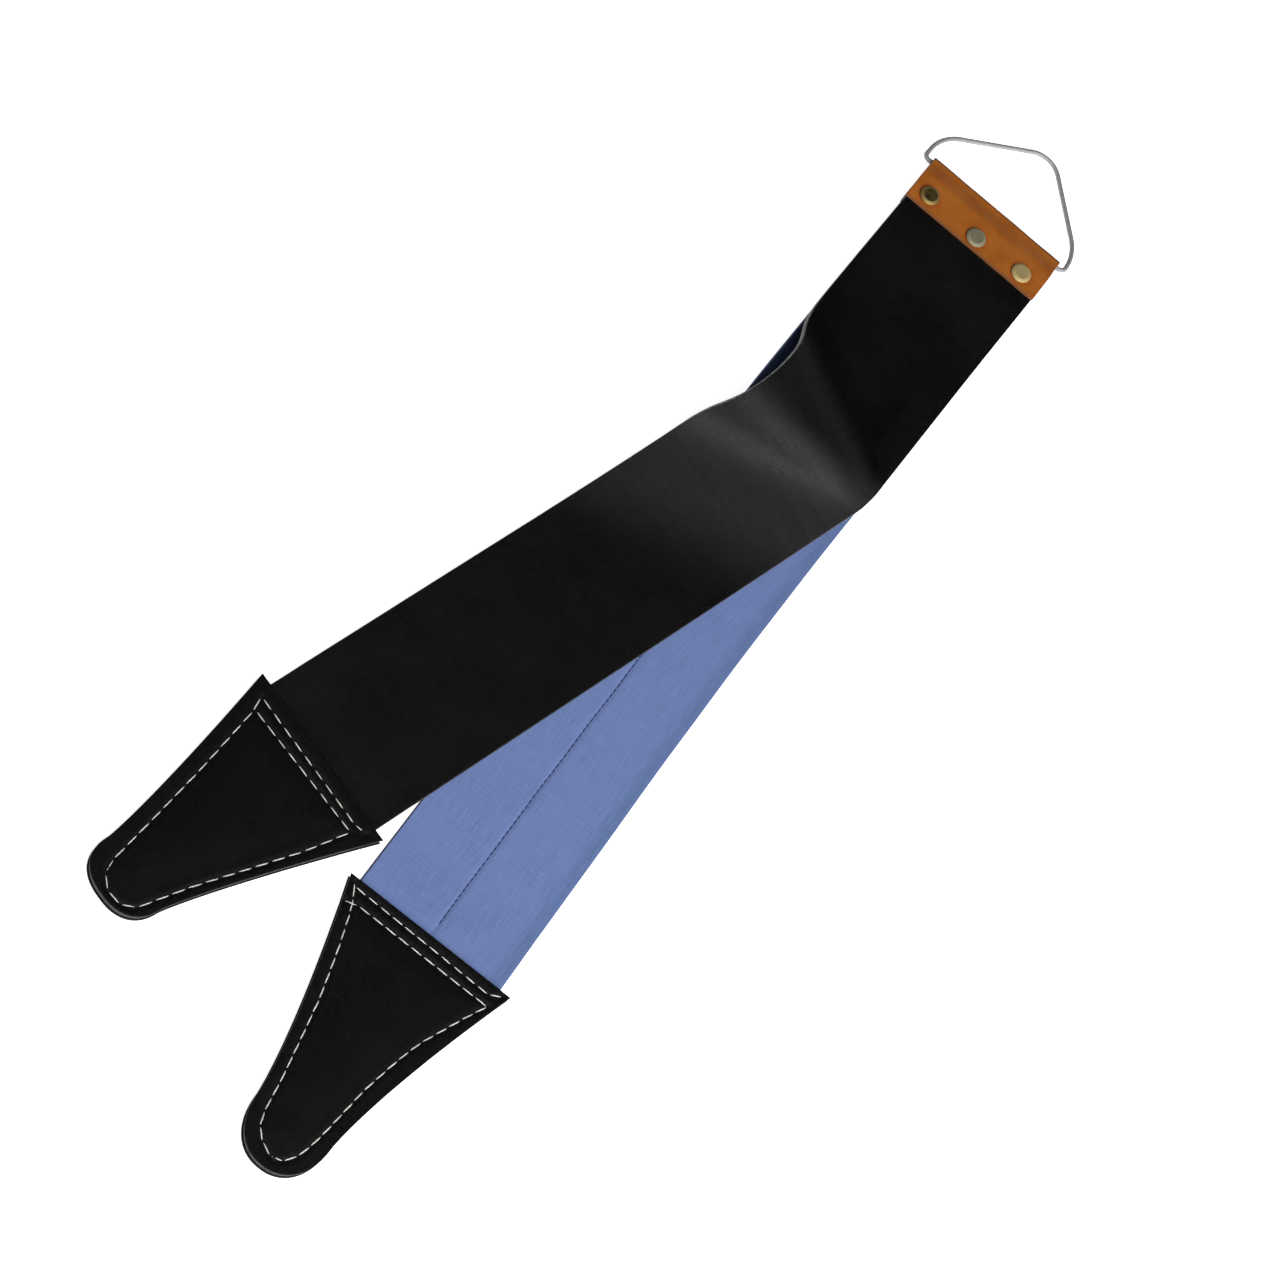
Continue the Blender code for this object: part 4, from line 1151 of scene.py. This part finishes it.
def build_canvas(holes):
    """The two layers of the canvas strap and their seam."""
    # the face layer's edge tint, darker and more purple, is painted shade of its folded edges
    face_blue = blue_canvas("canvas_face_cloth", (0.113, 0.166, 0.350), (0.11, 0.15, 0.32))
    back_blue = blue_canvas("canvas_back_cloth", (0.098, 0.138, 0.275), (0.22, 0.23, 0.27))
    navy = thread("navy_thread", (0.020, 0.030, 0.115), (0.010, 0.014, 0.060))
    layers = (("canvas_back", 0.0, -BACK_LAYER_SHIFT, back_blue, 0.0),
              ("canvas_face", CANVAS_LAYER + GAP, 0.0, face_blue, 0.30 * MM))
    for node, height, shift, surface, seam_depth in layers:
        pieces = make_canvas_layer(node, height, shift, surface, seam_depth)
        pierce(pieces[0], holes)
        hang(pieces, node, "blue_canvas")
    hang(make_seam(navy), "canvas_seam_thread", "navy_thread")


def build_object():
    strap_black = black_leather("strap_leather", 1.35, 0.8, 0.125)
    handle_black = black_leather("handle_leather", 1.8, 0.22, 0.09)
    white = thread("white_thread", (0.66, 0.65, 0.61), (0.34, 0.33, 0.30))
    holes = [rivet_hole(side) for side in RIVET_SIDES]
    build_clip(holes)
    build_canvas(holes)

    heading = TURN + LEAN
    down = Vector((-math.sin(heading), -math.cos(heading), 0.0))
    leather_end = Vector((*joint("leather_handle_flex")["pos_m"][:2], 0.0)) + down * 15 * MM
    pieces = make_leather_strap(strap_black)
    pierce(pieces[0], holes)
    hang(pieces, "leather_strap", "black_leather")
    for hole in holes:
        bpy.data.objects.remove(hole)

    canvas_end = (0.0, MOUTH_Y - CANVAS_RUN, 0.0)
    handles = (("leather_handle", LEATHER_HANDLE, leather_end, -heading, 31),
               ("canvas_handle", CANVAS_HANDLE, canvas_end, CANVAS_HANDLE_TURN, 57))
    for name, handle, end, turn, seed in handles:
        place = Matrix.Translation(end) @ Matrix.Rotation(turn, 4, "Z")
        for piece, node, slot in make_handle(name, handle, place, handle_black, white, seed):
            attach(piece, name)
            dress(piece, slot, node)


# ---- floor, light and camera

SKY_STRENGTH, FLOOR_GLOW = 0.06, 0.90
SOFTBOX_PLACE, SOFTBOX_SIZE, SOFTBOX_POWER = (1.15, -1.10, 1.55), (1.3, 2.8), 110.0
CAMERA_PLACE, CAMERA_LENS = (-0.1115, -1.0526, 1.7526), 129.4
CAMERA_RIGHT, CAMERA_FORWARD = (0.76724, 0.53511, 0.35355), (0.05226, 0.49726, -0.86603)


def build_stage():
    bpy.ops.mesh.primitive_plane_add(size=12.0, location=(0.0, 0.0, -0.2 * MM))
    floor = bpy.context.object
    floor.name = "floor"
    paper, tree, shader = start_material("floor_paper")
    fill(tree, shader, {
        "Base Color": (0.90, 0.90, 0.90, 1.0),
        "Roughness": 0.9,
        "Specular IOR Level": 0.1,
        "Emission Color": (1.0, 1.0, 1.0, 1.0),
        "Emission Strength": FLOOR_GLOW,
    })
    floor.data.materials.append(paper)


def build_light():
    """One broad softbox beside the strop, and a faint even sky."""
    world = bpy.data.worlds.new("studio")
    bpy.context.scene.world = world
    world.use_nodes = True
    sky = world.node_tree.nodes["Background"]
    fill(world.node_tree, sky, {"Color": (1.0, 1.0, 1.0, 1.0), "Strength": SKY_STRENGTH})
    light = bpy.data.lights.new("softbox", "AREA")
    light.shape = "RECTANGLE"
    light.size, light.size_y = SOFTBOX_SIZE
    light.energy = SOFTBOX_POWER
    softbox = put_in_scene("softbox", light)
    softbox.location = SOFTBOX_PLACE
    softbox.rotation_euler = (-softbox.location).to_track_quat("-Z", "Y").to_euler()
    bpy.context.scene.view_settings.view_transform = "Standard"


def build_camera():
    """The photograph's view: from 60 degrees up, turned in the picture's own plane."""
    lens = bpy.data.cameras.new("camera")
    lens.sensor_width, lens.lens = 36.0, CAMERA_LENS
    lens.clip_start, lens.clip_end = 0.05, 50.0
    camera = put_in_scene("camera", lens)
    right, forward = Vector(CAMERA_RIGHT).normalized(), Vector(CAMERA_FORWARD).normalized()
    facing = Matrix((right, right.cross(forward), -forward)).transposed()
    camera.matrix_world = Matrix.Translation(CAMERA_PLACE) @ facing.to_4x4()
    bpy.context.scene.camera = camera


build_object()
build_stage()
build_light()
build_camera()
